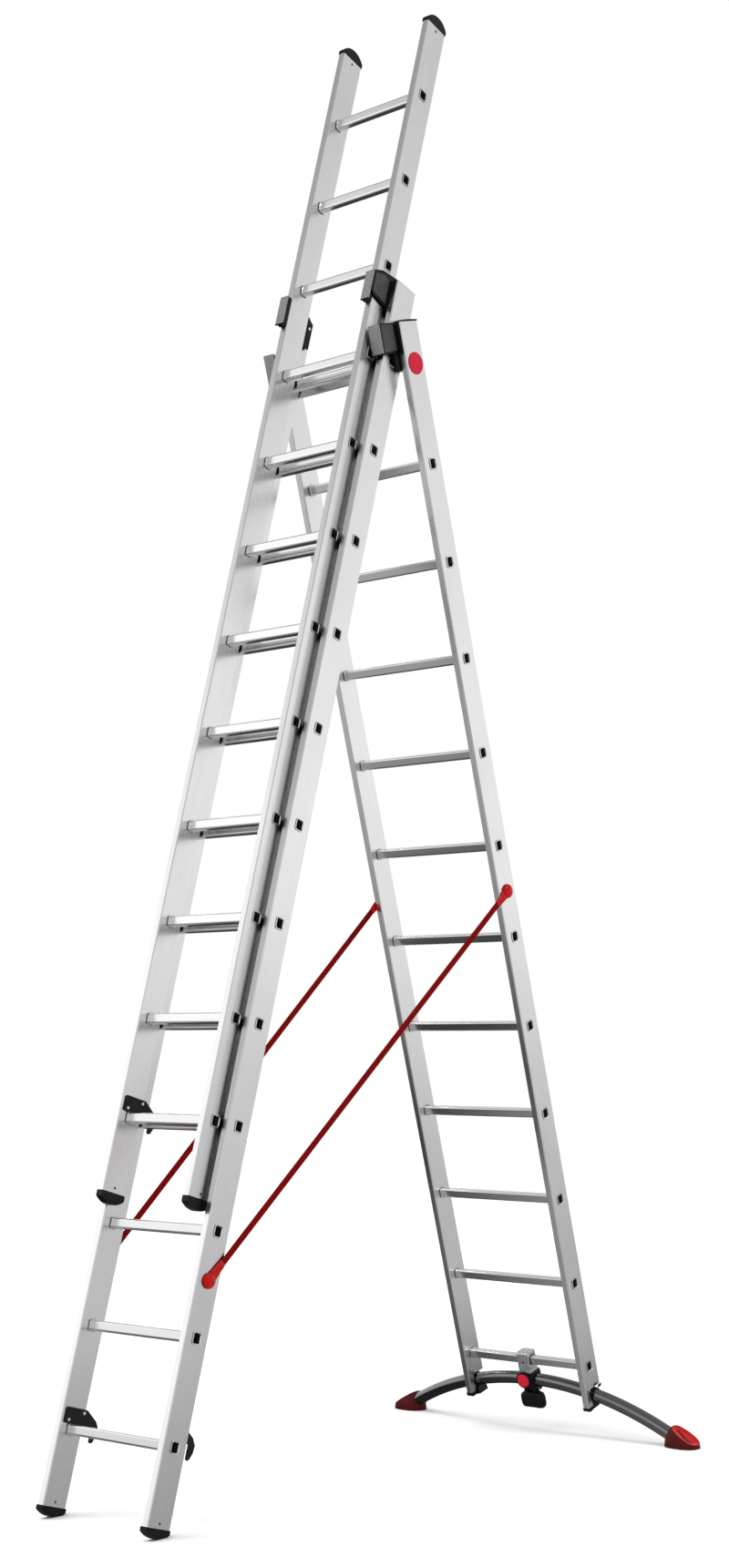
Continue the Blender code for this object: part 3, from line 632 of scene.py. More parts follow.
def cut(piece, cutters):
    """Cuts the piece with each cutter, then removes the cutters."""
    for cutter in cutters:
        modifier = piece.modifiers.new(cutter.name, "BOOLEAN")
        modifier.operation = "DIFFERENCE"
        modifier.solver = "EXACT"
        modifier.object = cutter
    bpy.context.view_layer.update()
    evaluated = piece.evaluated_get(bpy.context.evaluated_depsgraph_get())
    mesh = bpy.data.meshes.new_from_object(evaluated)
    piece.modifiers.clear()
    piece.data = mesh
    for cutter in cutters:
        bpy.data.objects.remove(cutter, do_unlink=True)


# ---------------------------------------------------------------- stiles
def make_stile(section, side_name, extra_cuts=()):
    """A box-section stile with chamfered corners, its bore, and a hole for each rung."""
    centre = SIDES[side_name] * (section.inner + section.outer) / 2
    node = f"{section.label}_stile_{side_name}"
    ring = rounded_rectangle(STILE_THICKNESS / 2, section.half_depth, STILE_CORNER, 1)
    bm = bmesh.new()
    add_loft(bm, [[(centre + x, y, z) for x, y in ring] for z in (section.bottom, section.top)])
    stile = add_piece(f"{node}_profile", bm, [STILE_METAL, BORE_PAINTED_SHADE], section.matrix, smooth=False)
    half = STILE_THICKNESS / 2 - STILE_WALL
    hollow = section.half_depth - STILE_WALL
    bore = bmesh.new()
    add_box(
        bore, (centre - half, -hollow, section.bottom - 0.01), (centre + half, hollow, section.top + 0.01),
    )
    holes = bmesh.new()
    hole = rounded_rectangle(RUNG_DEPTH / 2 + RUNG_FIT, RUNG_HEIGHT / 2 + RUNG_FIT, RUNG_CORNER)
    for number in range(1, RUNG_COUNT + 1):
        height = section.rung_height(number)
        outline = [(y, z + height) for y, z in hole]
        add_prism(holes, outline, centre - STILE_THICKNESS, centre + STILE_THICKNESS)
    cuts = (("bore", bore), ("holes", holes), *extra_cuts)
    cut(stile, [add_cutter(f"{node}_{label}", bm, section.matrix) for label, bm in cuts])
    settle(stile, section.label, "aluminium", node)


def pivot_bore_cutter(side_name):
    """The hole in a middle stile for the hinge bracket's stub."""
    side = SIDES[side_name]
    centre = MIDDLE.matrix.inverted() @ HINGE_PIVOT
    place = facing(side, side * (MIDDLE.inner - 0.01), centre.y, centre.z)
    bm = bmesh.new()
    add_cylinder(bm, place, PIVOT_BORE_RADIUS, 0.0, 0.04, 32)
    return bm


def notch_cutter(side_name):
    """The rear half of a rear stile's end, cut away for the stabiliser."""
    bm = bmesh.new()
    spans = (
        (REAR.inner - 0.01, REAR.outer + 0.01), (NOTCH_FRONT, REAR.half_depth + 0.01),
        (REAR.bottom - 0.01, NOTCH_TOP),
    )
    add_side_box(bm, SIDES[side_name], *spans)
    return bm


# ---------------------------------------------------------------- rungs
def rung_ring(x, growth, detail=0.0):
    """The rung's cross-section at x, grown outwards, with its taper and ribs as a share."""
    ring = rounded_rectangle(
        RUNG_DEPTH / 2 + growth, RUNG_HEIGHT / 2 + growth, RUNG_CORNER + growth, 4, 16,
    )
    tread_height = RUNG_HEIGHT / 2 + growth - 0.0001
    tread_half = RUNG_DEPTH / 2 - RUNG_CORNER + 0.0005
    points = []
    for y, z in ring:
        wave = 0.5 + 0.5 * math.cos(y * 2 * math.pi / RUNG_RIB_PITCH)
        on_tread = z > tread_height and abs(y) < tread_half
        lift = detail * RUNG_RIB_HEIGHT * wave if on_tread else 0.0
        taper = 1 - detail * RUNG_TAPER * (RUNG_HEIGHT / 2 - z) / RUNG_HEIGHT
        points.append((x, y * taper, z + lift))
    return points


def rung_mesh(section):
    """A hollow ribbed rung: beads inside the stiles, flared lips outside them, and a bore painted
    near-black as shade.
    """
    outer, inner = section.outer, section.inner
    stations = (
        (inner - 0.0052, 0.0, 1.0),
        (inner - 0.0040, 0.0012, 0.0),
        (inner - 0.0014, 0.0012, 0.0),
        (inner - 0.0004, 0.0, 0.0),
        (outer + 0.0003, 0.0, 0.0),
        (outer + 0.0005, 0.0026, 0.0),
        (outer + 0.0013, 0.0031, 0.0),
        (outer + 0.0021, 0.0022, 0.0),
        (outer + 0.0020, 0.0004, 0.0),
        (outer + 0.0008, -0.0008, 0.0),
        (outer - 0.0010, -RUNG_WALL, 0.0),
        (inner - 0.0100, -RUNG_WAIST, 0.0),
    )
    rings = [rung_ring(-x, growth, detail) for x, growth, detail in reversed(stations)]
    rings += [rung_ring(x, growth, detail) for x, growth, detail in stations]
    bm = bmesh.new()
    add_loft(bm, rings, closed=True)
    bm.verts.ensure_lookup_table()
    bore_size = 2 * len(rings[0])
    bore_verts = set(bm.verts[:bore_size] + bm.verts[-bore_size:])
    for face in bm.faces:
        if bore_verts.issuperset(face.verts):
            face.material_index = 1
    mesh = bpy.data.meshes.new(f"{section.label}_ribbed_rung")
    bmesh.ops.recalc_face_normals(bm, faces=bm.faces)
    bm.to_mesh(mesh)
    bm.free()
    mesh.materials.append(RUNG_METAL)
    mesh.materials.append(BORE_PAINTED_SHADE)
    mesh.shade_smooth()
    mesh.set_sharp_from_angle(angle=math.radians(28))
    return mesh


def make_rungs(section):
    """One mesh, shared by all the rungs of the section."""
    mesh = rung_mesh(section)
    for number in range(1, RUNG_COUNT + 1):
        node = f"{section.label}_rung_{number:02d}"
        rung = bpy.data.objects.new(f"{node}_ribbed", mesh)
        bpy.context.scene.collection.objects.link(rung)
        rung.matrix_world = section.matrix @ Matrix.Translation((0.0, 0.0, section.rung_height(number)))
        settle(rung, section.label, "aluminium", node)


# ---------------------------------------------------------------- caps, feet and rivets
def add_rivet(bm, side, x, y, z, radius=RIVET_RADIUS, rise=RIVET_RISE):
    """A domed rivet head that points along X, outwards where side is positive."""
    profile = [(0.0, -rise), (radius, -rise), (radius, 0.1 * rise), (0.93 * radius, 0.45 * rise)]
    profile += [(0.72 * radius, 0.78 * rise), (0.40 * radius, 0.95 * rise), (0.0, rise)]
    add_lathe(bm, profile, facing(side, x, y, z), 20)


def cap_outline(half_depth, edge, rise, tread=0.0):
    """(y, z) outline of a cap above z = 0: straight edges, then an arc as high as rise."""
    sagitta = rise - edge
    radius = (half_depth ** 2 + sagitta ** 2) / (2 * sagitta)
    reach = math.asin(half_depth / radius)
    points = [(-half_depth, 0.0), (half_depth, 0.0)]
    for step in range(CAP_STEPS + 1):
        angle = reach * (1 - 2 * step / CAP_STEPS)
        sunk = radius - (tread if step % 2 else 0.0)
        points.append((sunk * math.sin(angle), rise - radius + sunk * math.cos(angle)))
    return points


def make_cap(name, section, side_name, at_top, edge, rise, material, proud=CAP_PROUD, tread=0.0):
    """A moulded cap on a stile's end, with the plug that holds it in the stile."""
    side = SIDES[side_name]
    outward = 1 if at_top else -1
    end = (section.top if at_top else section.bottom) + outward * CAP_FIT
    outline = cap_outline(section.half_depth + proud, edge, rise, tread)
    outline = [(y, end + outward * z) for y, z in outline]
    bm = bmesh.new()
    add_prism(bm, outline, *mirror_range(side, section.inner - proud, section.outer + proud))
    wall = STILE_WALL + CAP_FIT
    plug_half = section.half_depth - wall
    plug_z = sorted((end - outward * CAP_PLUG, end + outward * edge / 2))
    add_side_box(bm, side, (section.inner + wall, section.outer - wall), (-plug_half, plug_half), plug_z)
    cap = add_piece(name, bm, [material], section.matrix, smooth=False)
    round_edges(cap, 0.0012)
    return cap


def clip_to_floor(piece):
    """Cuts the piece off flat just above the floor."""
    inverse = piece.matrix_world.inverted()
    plane = {
        "plane_co": inverse @ Vector((0.0, 0.0, FLOOR_GAP)),
        "plane_no": inverse.to_3x3() @ Vector((0.0, 0.0, 1.0)), "clear_inner": True,
    }
    bm = bmesh.new()
    bm.from_mesh(piece.data)
    slice_off(bm, plane)
    bm.to_mesh(piece.data)
    bm.free()


def slice_off(bm, plane):
    """Cuts the mesh at a plane, and fills the cut."""
    geometry = bm.verts[:] + bm.edges[:] + bm.faces[:]
    found = bmesh.ops.bisect_plane(bm, geom=geometry, **plane)["geom_cut"]
    edges = [item for item in found if isinstance(item, bmesh.types.BMEdge)]
    bmesh.ops.holes_fill(bm, edges=edges)


def make_stile_ends(side_name):
    for end, edge, rise in (("top", 0.0120, 0.0330), ("bottom", 0.0160, 0.0325)):
        name = f"front_{end}_cap_{side_name}"
        cap = make_cap(name, FRONT, side_name, end == "top", edge, rise, BLACK_PLASTIC)
        settle(cap, "front", "black_plastic")
    name = f"middle_top_cap_{side_name}"
    cap = make_cap(name, MIDDLE, side_name, True, 0.0015, 0.0025, GREY_PLASTIC, 0.0)
    settle(cap, "middle", "black_plastic")
    cap = make_cap(f"rear_top_cap_{side_name}", REAR, side_name, True, 0.0040, 0.0055, BLACK_PLASTIC)
    settle(cap, "rear", "black_plastic")
    name = f"middle_foot_moulded_{side_name}"
    foot = make_cap(name, MIDDLE, side_name, False, 0.0125, 0.0268, RUBBER, FOOT_PROUD, TREAD_DEPTH)
    clip_to_floor(foot)
    settle(foot, "middle", "black_rubber", f"middle_foot_{side_name}")


def make_tongue_tip(side_name):
    """The dark rounded sleeve on the end of a rear stile, in front of the stabiliser."""
    front, back = -REAR.half_depth - TIP_PROUD, NOTCH_FRONT + 0.0004
    low, high = REAR.bottom - 0.0025, REAR.bottom + 0.0110
    nip = 0.3 * TIP_EASE
    outline = [
        (front, high), (front, low + TIP_EASE), (front + nip, low + nip), (front + TIP_EASE, low),
        (back - TIP_EASE, low), (back - nip, low + nip), (back, low + TIP_EASE), (back, high),
    ]
    bm = bmesh.new()
    x_span = mirror_range(SIDES[side_name], REAR.inner - TIP_PROUD, REAR.outer + TIP_PROUD)
    add_prism(bm, outline, *x_span)
    tip = add_piece(f"rear_tongue_tip_{side_name}", bm, [BLACK_PLASTIC], REAR.matrix, smooth=False)
    round_edges(tip, 0.0012)
    settle(tip, "rear", "black_plastic")


def make_stile_rivets(section, ends):
    """Rivets through the stiles, near their capped ends."""
    bm = bmesh.new()
    for side in SIDES.values():
        for end, inward in ends:
            z = end + inward * CAP_RIVET_OFFSET
            add_rivet(bm, side, side * section.outer, 0.0, z)
            add_rivet(bm, -side, side * section.inner, 0.0, z)
    rivets = add_piece(f"{section.label}_stile_rivets", bm, [DARK_RIVET], section.matrix)
    settle(rivets, section.label, "zinc_steel")


def make_hook_rivets(section, side_name):
    """Two bright rivets through each hook plate and the stile."""
    side = SIDES[side_name]
    x = side * (section.inner - HOOK_RIVET_INSET)
    bm = bmesh.new()
    for y, height in HOOK_RIVETS:
        add_rivet(bm, -side, x, y, section.rung_height(1) + height, HOOK_RIVET_RADIUS, HOOK_RIVET_RISE)
    rivets = add_piece(f"{section.label}_hook_rivets_{side_name}", bm, [RIVET_METAL], section.matrix)
    settle(rivets, section.label, "aluminium")


def finish_hooks():
    """The CAD hook plates keep their shape, and get rounded edges and a black finish."""
    for label in ("front", "middle"):
        for side_name in SIDES:
            hook = frame["nodes"][f"{label}_hook_{side_name}"]
            hook.data.materials.clear()
            hook.data.materials.append(BLACK_STEEL)
            round_edges(hook, 0.0008, 2)


# ---------------------------------------------------------------- guide and hinge brackets
def add_folded_sheet(bm, side, near, far, cheek, panel, boxes):
    """A bracket's cheek, the dark panel on it, and its boxes of (material, spans)."""
    add_part(bm, 0, add_prism, cheek, *mirror_range(side, near, far))
    add_part(bm, 1, add_prism, panel, *mirror_range(side, far - 0.001, far + PANEL_PROUD))
    for index, *spans in boxes:
        add_part(bm, index, add_side_box, side, *spans)


def finish_bracket(name, bm, section, node):
    materials = [BLACK_PLASTIC, PANEL_PLASTIC, BRACKET_GREY, RIVET_METAL]
    bracket = add_piece(name, bm, materials, section.matrix, smooth=False)
    round_edges(bracket, BRACKET_EDGE, 2)
    settle(bracket, section.label, "zinc_steel", node)


def make_guide(side_name):
    """The bracket on a middle stile: folded sheet, dark panel, and black sliding blocks."""
    side = SIDES[side_name]
    near = FRONT.outer + GUIDE_CLEARANCE
    far = near + GUIDE_PLATE
    inboard = near - GUIDE_LIP
    stile_front = -FRONT_OFFSET - FRONT.half_depth
    flange_y = stile_front - GUIDE_REACH
    sheet_y = flange_y - SHEET
    low, high = GUIDE_LIP_Z
    cheek = [(flange_y + back, height) for back, height in GUIDE_CHIN]
    cheek += [(GUIDE_BACK, height) for height in GUIDE_BACK_Z]
    cheek += [(flange_y + back, height) for back, height in GUIDE_CROWN]
    panel = [(flange_y + back, height) for back, height in GUIDE_PANEL]
    boxes = (
        (2, (inboard, far - LAP), (sheet_y, flange_y), (low + SILL, high)),
        (0, (inboard + 0.0012, near - 0.0004), (flange_y + GAP, stile_front - SLIDE_GAP),
         (low + 0.0020, high - 0.0010)),
        (0, (inboard - 0.0004, far - GAP), (sheet_y - 0.0006, flange_y), (low, low + SILL)),
        (0, (far - LAP, MIDDLE.inner - 0.0004), GUIDE_PAD_Y, GUIDE_PAD_Z),
    )
    bm = bmesh.new()
    add_folded_sheet(bm, side, near, far, cheek, panel, boxes)
    strip_back = -MIDDLE.half_depth - GAP
    strip_front = strip_back - SHEET
    rings = []
    for height, reach in GUIDE_STRIP:
        x_low, x_high = mirror_range(side, far - LAP, MIDDLE.inner + reach)
        corners = ((x_low, strip_front), (x_high, strip_front), (x_high, strip_back), (x_low, strip_back))
        rings.append([(x, y, height) for x, y in corners])
    add_part(bm, 0, add_loft, rings)
    head = [(0.0, -0.001), (GUIDE_RIVET_RADIUS, -0.001), (GUIDE_RIVET_RADIUS, 0.0006), (0.0, 0.0012)]
    add_part(bm, 3, add_lathe, head, facing(-side, side * (near + 0.0002), *GUIDE_RIVET), 16)
    finish_bracket(f"upper_guide_folded_{side_name}", bm, MIDDLE, f"upper_guide_{side_name}")


def make_hinge_bracket(side_name):
    """The bracket on a rear stile: folded sheet, dark panel, black blocks and the pivot's boss."""
    side = SIDES[side_name]
    near = MIDDLE.outer + BRACKET_CLEARANCE
    far = REAR.inner - GAP
    pivot = REAR.matrix.inverted() @ HINGE_PIVOT
    flange_y, rear_y, stile_y = -BRACKET_REACH, BRACKET_BACK, -REAR.half_depth
    sheet_y = flange_y - SHEET
    bottom, top = BRACKET_BOTTOM, BRACKET_TOP
    lip = MIDDLE.inner - BRACKET_LIP
    cheek = [
        (flange_y, bottom), (pivot.y - 0.030, bottom),
        *arc_outline((pivot.y - 0.010, pivot.z - 0.008), BRACKET_LOBE, 180, 320, 16),
        (pivot.y + 0.012, pivot.z - 0.004), (pivot.y + 0.012, bottom + 0.004),
        (rear_y, bottom + 0.004), (rear_y, top), (flange_y, top),
    ]
    panel = [
        (flange_y + 0.004, bottom + 0.005), (stile_y - 0.004, bottom + 0.008),
        (stile_y - 0.004, top - 0.004), (flange_y + 0.004, top - 0.004),
    ]
    boxes = (
        (2, (lip, far - LAP), (sheet_y, flange_y), (bottom + SHEET, top - LAP)),
        (0, (lip - 0.0004, far - GAP), (sheet_y - 0.0005, flange_y), (bottom - 0.0010, bottom + SHEET)),
        (0, (far - 0.0010, REAR.outer - 0.0050), (stile_y - SHEET, stile_y - GAP), (bottom - 0.004, top)),
        (0, (lip, near - LAP), (flange_y, flange_y + 0.0300), (bottom + LAP, bottom + 0.0100)),
    )
    bm = bmesh.new()
    add_folded_sheet(bm, side, near, far, cheek, panel, boxes)
    boss = facing(side, side * (MIDDLE.outer - 0.0150), pivot.y, pivot.z)
    add_part(bm, 3, add_cylinder, boss, BOSS_RADIUS, 0.0, BOSS_LENGTH)
    finish_bracket(f"hinge_bracket_folded_{side_name}", bm, REAR, f"hinge_bracket_{side_name}")


def make_badge(side_name):
    """A plain red disc over the end of the rear section's top rung."""
    side = SIDES[side_name]
    bm = bmesh.new()
    add_lathe(bm, BADGE, facing(side, side * REAR.outer, 0.0, 0.0), 48)
    badge = add_piece(f"badge_{side_name}", bm, [BADGE_RED], REAR.matrix)
    sharpen(badge, 35)
    settle(badge, "rear", "red_plastic")


# ---------------------------------------------------------------- straps
def make_strap(side_name):
    """The woven strap between the middle and rear stiles, and the domed knob at each end."""
    side = SIDES[side_name]
    start = MIDDLE.matrix @ Vector((side * (MIDDLE.outer + STRAP_STANDOFF), 0.0, STRAP_ON_MIDDLE))
    end = REAR.matrix @ Vector((side * (REAR.outer + STRAP_STANDOFF), 0.0, STRAP_ON_REAR))
    along = (end - start).normalized()
    across = along.cross(Vector((1.0, 0.0, 0.0))).normalized()
    out = across.cross(along)

    def band_ring(centre, outline):
        return [centre + across * a + out * b for a, b in outline]

    half_thick = STRAP_THICKNESS / 2
    outline = rounded_rectangle(STRAP_WIDTH / 2, half_thick, 0.9 * half_thick, 3, 6)
    places = [start.lerp(end, step / STRAP_STEPS) for step in range(STRAP_STEPS + 1)]
    bm = bmesh.new()
    add_loft(bm, [band_ring(centre, outline) for centre in places])
    layer = bm.loops.layers.uv.new("weave")
    for face in bm.faces:
        for loop in face.loops:
            offset = loop.vert.co - start
            loop[layer].uv = (offset.dot(along), offset.dot(across))
    strap = add_piece(f"strap_webbing_{side_name}", bm, [STRAP_RED], Matrix.Identity(4))
    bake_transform(strap)
    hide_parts(f"strap_{side_name}")

    ends = ((MIDDLE, STRAP_ON_MIDDLE, start, along), (REAR, STRAP_ON_REAR, end, -along))
    for section, height, anchor, away in ends:
        rings = []
        for reach, half_width, half_thick in STRAP_NECK:
            outline = rounded_rectangle(half_width, half_thick, 0.8 * half_thick, 3)
            rings.append(band_ring(anchor + away * reach, outline))
        bm = bmesh.new()
        add_loft(bm, rings)
        bmesh.ops.transform(bm, matrix=section.matrix.inverted(), verts=bm.verts)
        add_lathe(bm, STRAP_KNOB, facing(side, side * section.outer, 0.0, height), 40)
        knob = add_piece(f"strap_knob_{section.label}_{side_name}", bm, [RED_PLASTIC], section.matrix)
        settle(knob, section.label, "red_plastic")


# ---------------------------------------------------------------- stabiliser
def bar_place(x):
    """The bar's centre at x, and its direction towards +X, in the world."""
    height = math.sqrt(BAR_ARC_RADIUS ** 2 - x ** 2)
    turn = REAR.matrix.to_3x3()
    centre = BAR_PIVOT + turn @ Vector((x, 0.0, height))
    along = turn @ Vector((height, 0.0, -x)) / BAR_ARC_RADIUS
    return centre, along


def bar_ring(x, outline):
    """A ring square to the bar at x, from its outline of (depth, height) points."""
    centre, along = bar_place(x)
    depth = REAR.matrix.to_3x3() @ Vector((0.0, 1.0, 0.0))
    height = along.cross(depth)
    return [centre + depth * a + height * b for a, b in outline]


def make_bar():
    """The bent tube, open at its ends."""
    places = [BAR_END * (2 * step / BAR_STEPS - 1) for step in range(BAR_STEPS + 1)]
    outer = [bar_ring(x, circle(BAR_RADIUS)) for x in places]
    inner = [bar_ring(x, circle(BAR_RADIUS - BAR_WALL)) for x in reversed(places)]
    bm = bmesh.new()
    add_loft(bm, outer + inner, closed=True)
    bar = add_piece("stabiliser_tube", bm, [TUBE_METAL], Matrix.Identity(4))
    sharpen(bar, 40)
    settle(bar, "stabiliser", "dark_aluminium", "stabiliser_bar")


def make_bar_guide(side_name):
    """The black ring between a rear stile's notch and the bar, its tab, and the pads round it."""
    side = SIDES[side_name]
    near, far = REAR.inner - LINER_INNER, REAR.outer + LINER_OUTER
    stations = [side * (near + (far - near) * step / 4) for step in range(5)]
    rings = [bar_ring(x, circle(LINER_RADIUS)) for x in stations]
    rings += [bar_ring(x, circle(BAR_RADIUS + 0.0004)) for x in reversed(stations)]
    bm = bmesh.new()
    add_loft(bm, rings, closed=True)
    for x_near, depth_low, depth_high, low, high in LINER_BLOCKS:
        middle = ((depth_low + depth_high) / 2, (low + high) / 2)
        corners = rounded_rectangle((depth_high - depth_low) / 2, (high - low) / 2, 0.0015, 3)
        outline = [(a + middle[0], b + middle[1]) for a, b in corners]
        add_loft(bm, [bar_ring(side * x, outline) for x in (REAR.inner + x_near, far)])
    guide = add_piece(f"bar_liner_{side_name}", bm, [BLACK_PLASTIC], Matrix.Identity(4), smooth=False)
    round_edges(guide, 0.0005, 2)
    settle(guide, "rear", "black_plastic")


def make_shoe(side_name):
    """A moulded red shoe: its body painted dark as shade, a flat sole, and a red dished face that slopes
    outwards.
    """
    side = SIDES[side_name]
    anchor, _ = bar_place(side * SHOE_CENTRE_X)
    half_x, half_y, height = SHOE_HALF_SIZE
    bm = bmesh.new()
    bmesh.ops.create_uvsphere(bm, u_segments=56, v_segments=36, radius=1.0)
    for vert in bm.verts:
        x, y, z = vert.co
        flat = math.hypot(x, y)
        if flat > 0:
            angle = math.atan2(y, x)
            reach = abs(math.cos(angle)) ** SHOE_SQUARENESS + abs(math.sin(angle)) ** SHOE_SQUARENESS
            power = reach ** (-1 / SHOE_SQUARENESS)
            x, y = (flat ** 0.80 * power * f(angle) for f in (math.cos, math.sin))
        vert.co = (half_x * x, half_y * y, height * math.copysign(abs(z) ** 0.9, z))
    slope = Vector((side * SHOE_FACE_TILT[0], 0.0, SHOE_FACE_TILT[1])).normalized()
    slice_off(bm, {"plane_co": (0.0, 0.0, FLOOR_GAP), "plane_no": (0.0, 0.0, 1.0), "clear_inner": True})
    slice_off(bm, {"plane_co": (0.0, 0.0, SHOE_FACE_HEIGHT), "plane_no": slope, "clear_outer": True})
    bm.normal_update()
    face = max(bm.faces, key=lambda item: item.normal.dot(slope) * item.calc_area())
    face.material_index = 1
    for thickness, depth in SHOE_FACE_STEPS:
        made = bmesh.ops.inset_region(bm, faces=[face], thickness=thickness, depth=depth)
        for side_face in made["faces"]:
            side_face.material_index = 1
    name = f"stabiliser_shoe_moulded_{side_name}"
    place = Matrix.Translation((anchor.x, anchor.y, 0.0))
    shoe = add_piece(name, bm, [SHOE_SHADED_BODY, RED_PLASTIC], place)
    sharpen(shoe, 40)
    settle(shoe, "stabiliser", "red_plastic", f"stabiliser_shoe_{side_name}")


# ---------------------------------------------------------------- clamp and pedal
BAR_CENTRE = REAR.matrix.inverted() @ bar_place(0.0)[0]
CLAMP_JOINT_Z = BAR_CENTRE.z + BAR_RADIUS + CLAMP_JOINT


def make_clamp_saddle():
    """The cast saddle on the bottom rung, and the bolt in its front."""
    rung = REAR.rung_height(1)
    outline = [(SADDLE_BACK, CLAMP_JOINT_Z), *((y, rung + z) for y, z in SADDLE_CROWN)]
    outline.append((SADDLE_FRONT, CLAMP_JOINT_Z))
    bm = bmesh.new()
    add_prism(bm, outline, -SADDLE_HALF_WIDTH, SADDLE_HALF_WIDTH)
    casting = add_piece("clamp_saddle", bm, [CAST_METAL, BORE_PAINTED_SHADE], REAR.matrix, smooth=False)
    hollow = rounded_rectangle(RUNG_DEPTH / 2 + 0.0006, RUNG_HEIGHT / 2 + 0.0012, RUNG_CORNER)
    rung_way = bmesh.new()
    add_prism(rung_way, [(y, z + rung) for y, z in hollow], -0.1, 0.1)
    turn = Matrix.Rotation(math.pi / 2, 4, "X")
    bolt_place = Matrix.Translation((0.0, SADDLE_FRONT, rung - SADDLE_BOLT_DROP)) @ turn
    bolt_hole = bmesh.new()
    add_cylinder(bolt_hole, bolt_place, SADDLE_BOLT_HOLE, -0.008, 0.008)
    cuts = (("saddle_rung", rung_way), ("saddle_bolt_hole", bolt_hole))
    cut(casting, [add_cutter(name, bm, REAR.matrix) for name, bm in cuts])
    round_edges(casting, 0.0022, 3)
    settle(casting, "rear", "cast_grey", "clamp_casting")
    bm = bmesh.new()
    add_lathe(bm, BOLT_HEAD, bolt_place, 20)
    bolt_head = add_piece("clamp_bolt", bm, [DARK_RIVET], REAR.matrix)
    sharpen(bolt_head, 40)
    settle(bolt_head, "rear", "zinc_steel")


def make_clamp_shell():
    """The black shell round the bar, open below for the pedal."""
    low, high = BAR_CENTRE.z - BAR_RADIUS - SHELL_BELOW_BAR, CLAMP_JOINT_Z - GAP
    rings = []
    for share, width, depth, corner in SHELL_RINGS:
        ring = rounded_rectangle(width, depth, corner, 6, 4)
        rings.append([(x, BAR_CENTRE.y + y, low + (high - low) * share) for x, y in ring])
    bm = bmesh.new()
    add_loft(bm, rings)
    shell = add_piece("clamp_body", bm, [BLACK_PLASTIC, BORE_PAINTED_SHADE], REAR.matrix, smooth=False)
    bar_way = bmesh.new()
    places = [0.07 * (step / 4 - 1) for step in range(9)]
    add_loft(bar_way, [bar_ring(x, circle(BAR_RADIUS + 0.0010, 32)) for x in places])
    slot = bmesh.new()
    slot_y = (BAR_CENTRE.y - 0.05, BAR_CENTRE.y + 0.05)
    slot_x = (-PEDAL_SLOT_HALF_WIDTH, PEDAL_SLOT_HALF_WIDTH)
    add_side_box(slot, 1, slot_x, slot_y, (low - 0.01, low + PEDAL_SLOT_HEIGHT))
    cut(shell, [
        add_cutter("clamp_bar_way", bar_way, Matrix.Identity(4)),
        add_cutter("clamp_pedal_slot", slot, REAR.matrix),
    ])
    shell.data.shade_smooth()
    sharpen(shell, 32)
    round_edges(shell, 0.0012, 2, 40.0)
    settle(shell, "rear", "black_plastic", "clamp_shell")


def make_clamp_disc():
    """The round boss on the shell's front, with its plain red disc."""
    place = Vector(DISC_PLACE) + Vector((0.0, BAR_CENTRE.y, BAR_CENTRE.z))
    turn = Matrix.Translation(place) @ Matrix.Rotation(math.pi / 2, 4, "X")
    bm = bmesh.new()
    add_part(bm, 0, add_lathe, DISC_RIM, turn, 40)
    add_part(bm, 1, add_lathe, DISC_FACE, turn, 40)
    disc = add_piece("clamp_disc", bm, [BLACK_PLASTIC, BADGE_RED], REAR.matrix)
    sharpen(disc, 40)
    settle(disc, "rear", "red_plastic")


def make_pedal():
    """The ribbed foot pad on its neck, and the barrel that turns on the clamp's pin."""
    rings = []
    for z, width, front, back, corner in PEDAL_RINGS:
        ring = rounded_rectangle(width, (back - front) / 2, corner, 5, 6)
        rings.append([(x, y + (back + front) / 2, z) for x, y in ring])
    bm = bmesh.new()
    add_loft(bm, rings)
    half_x, half_z = PEDAL_RIB_HALF_SIZE
    for number in range(PEDAL_RIB_COUNT):
        z = PEDAL_RIB_TOP - PEDAL_RIB_PITCH * number
        add_side_box(bm, 1, (-half_x, half_x), PEDAL_RIB_Y, (z - half_z, z + half_z))
    add_cylinder(bm, facing(1, -BARREL_LENGTH / 2, 0.0, 0.0), BARREL_RADIUS, 0.0, BARREL_LENGTH)
    pin = facing(1, -PIN_LENGTH / 2, 0.0, 0.0)
    add_part(bm, 1, add_cylinder, pin, PIN_RADIUS, 0.0, PIN_LENGTH, 16)
    place = Matrix.Translation(joints["pedal_press"]["pos_m"]) @ REAR.matrix.to_3x3().to_4x4()
    pedal = add_piece("pedal_pad", bm, [PEDAL_RUBBER, RIVET_METAL], place)
    sharpen(pedal, 38)
    round_edges(pedal, 0.0006, 2, 50.0)
    settle(pedal, "pedal", "black_rubber", "pedal")


# ---------------------------------------------------------------- floor, light and camera
def grey_ramp(tree, source, stops):
    """A grey by the value of the source, from (place, brightness) stops between 0 and 1."""
    node = tree.nodes.new("ShaderNodeValToRGB")
    elements = node.color_ramp.elements
    while len(elements) < len(stops):
        elements.new(1.0)
    for element, (place, brightness) in zip(elements, stops):
        element.position = place
        element.color = (*rgb(brightness), 1.0)
    tree.links.new(source, node.inputs["Fac"])
    return node.outputs["Color"]


def between(tree, first, second, share):
    """The first value, the second, or a mix of them, by a share from 0 to 1."""
    step = calculate(tree, "MULTIPLY", calculate(tree, "SUBTRACT", second, first), share)
    return calculate(tree, "ADD", first, step)


def split_coordinates(tree, kind):
    """The X, Y and Z of the object's own coordinates, or of the direction in a world."""
    coordinates = tree.nodes.new("ShaderNodeTexCoord")
    split = tree.nodes.new("ShaderNodeSeparateXYZ")
    tree.links.new(coordinates.outputs[kind], split.inputs["Vector"])
    return [split.outputs[axis] for axis in "XYZ"]


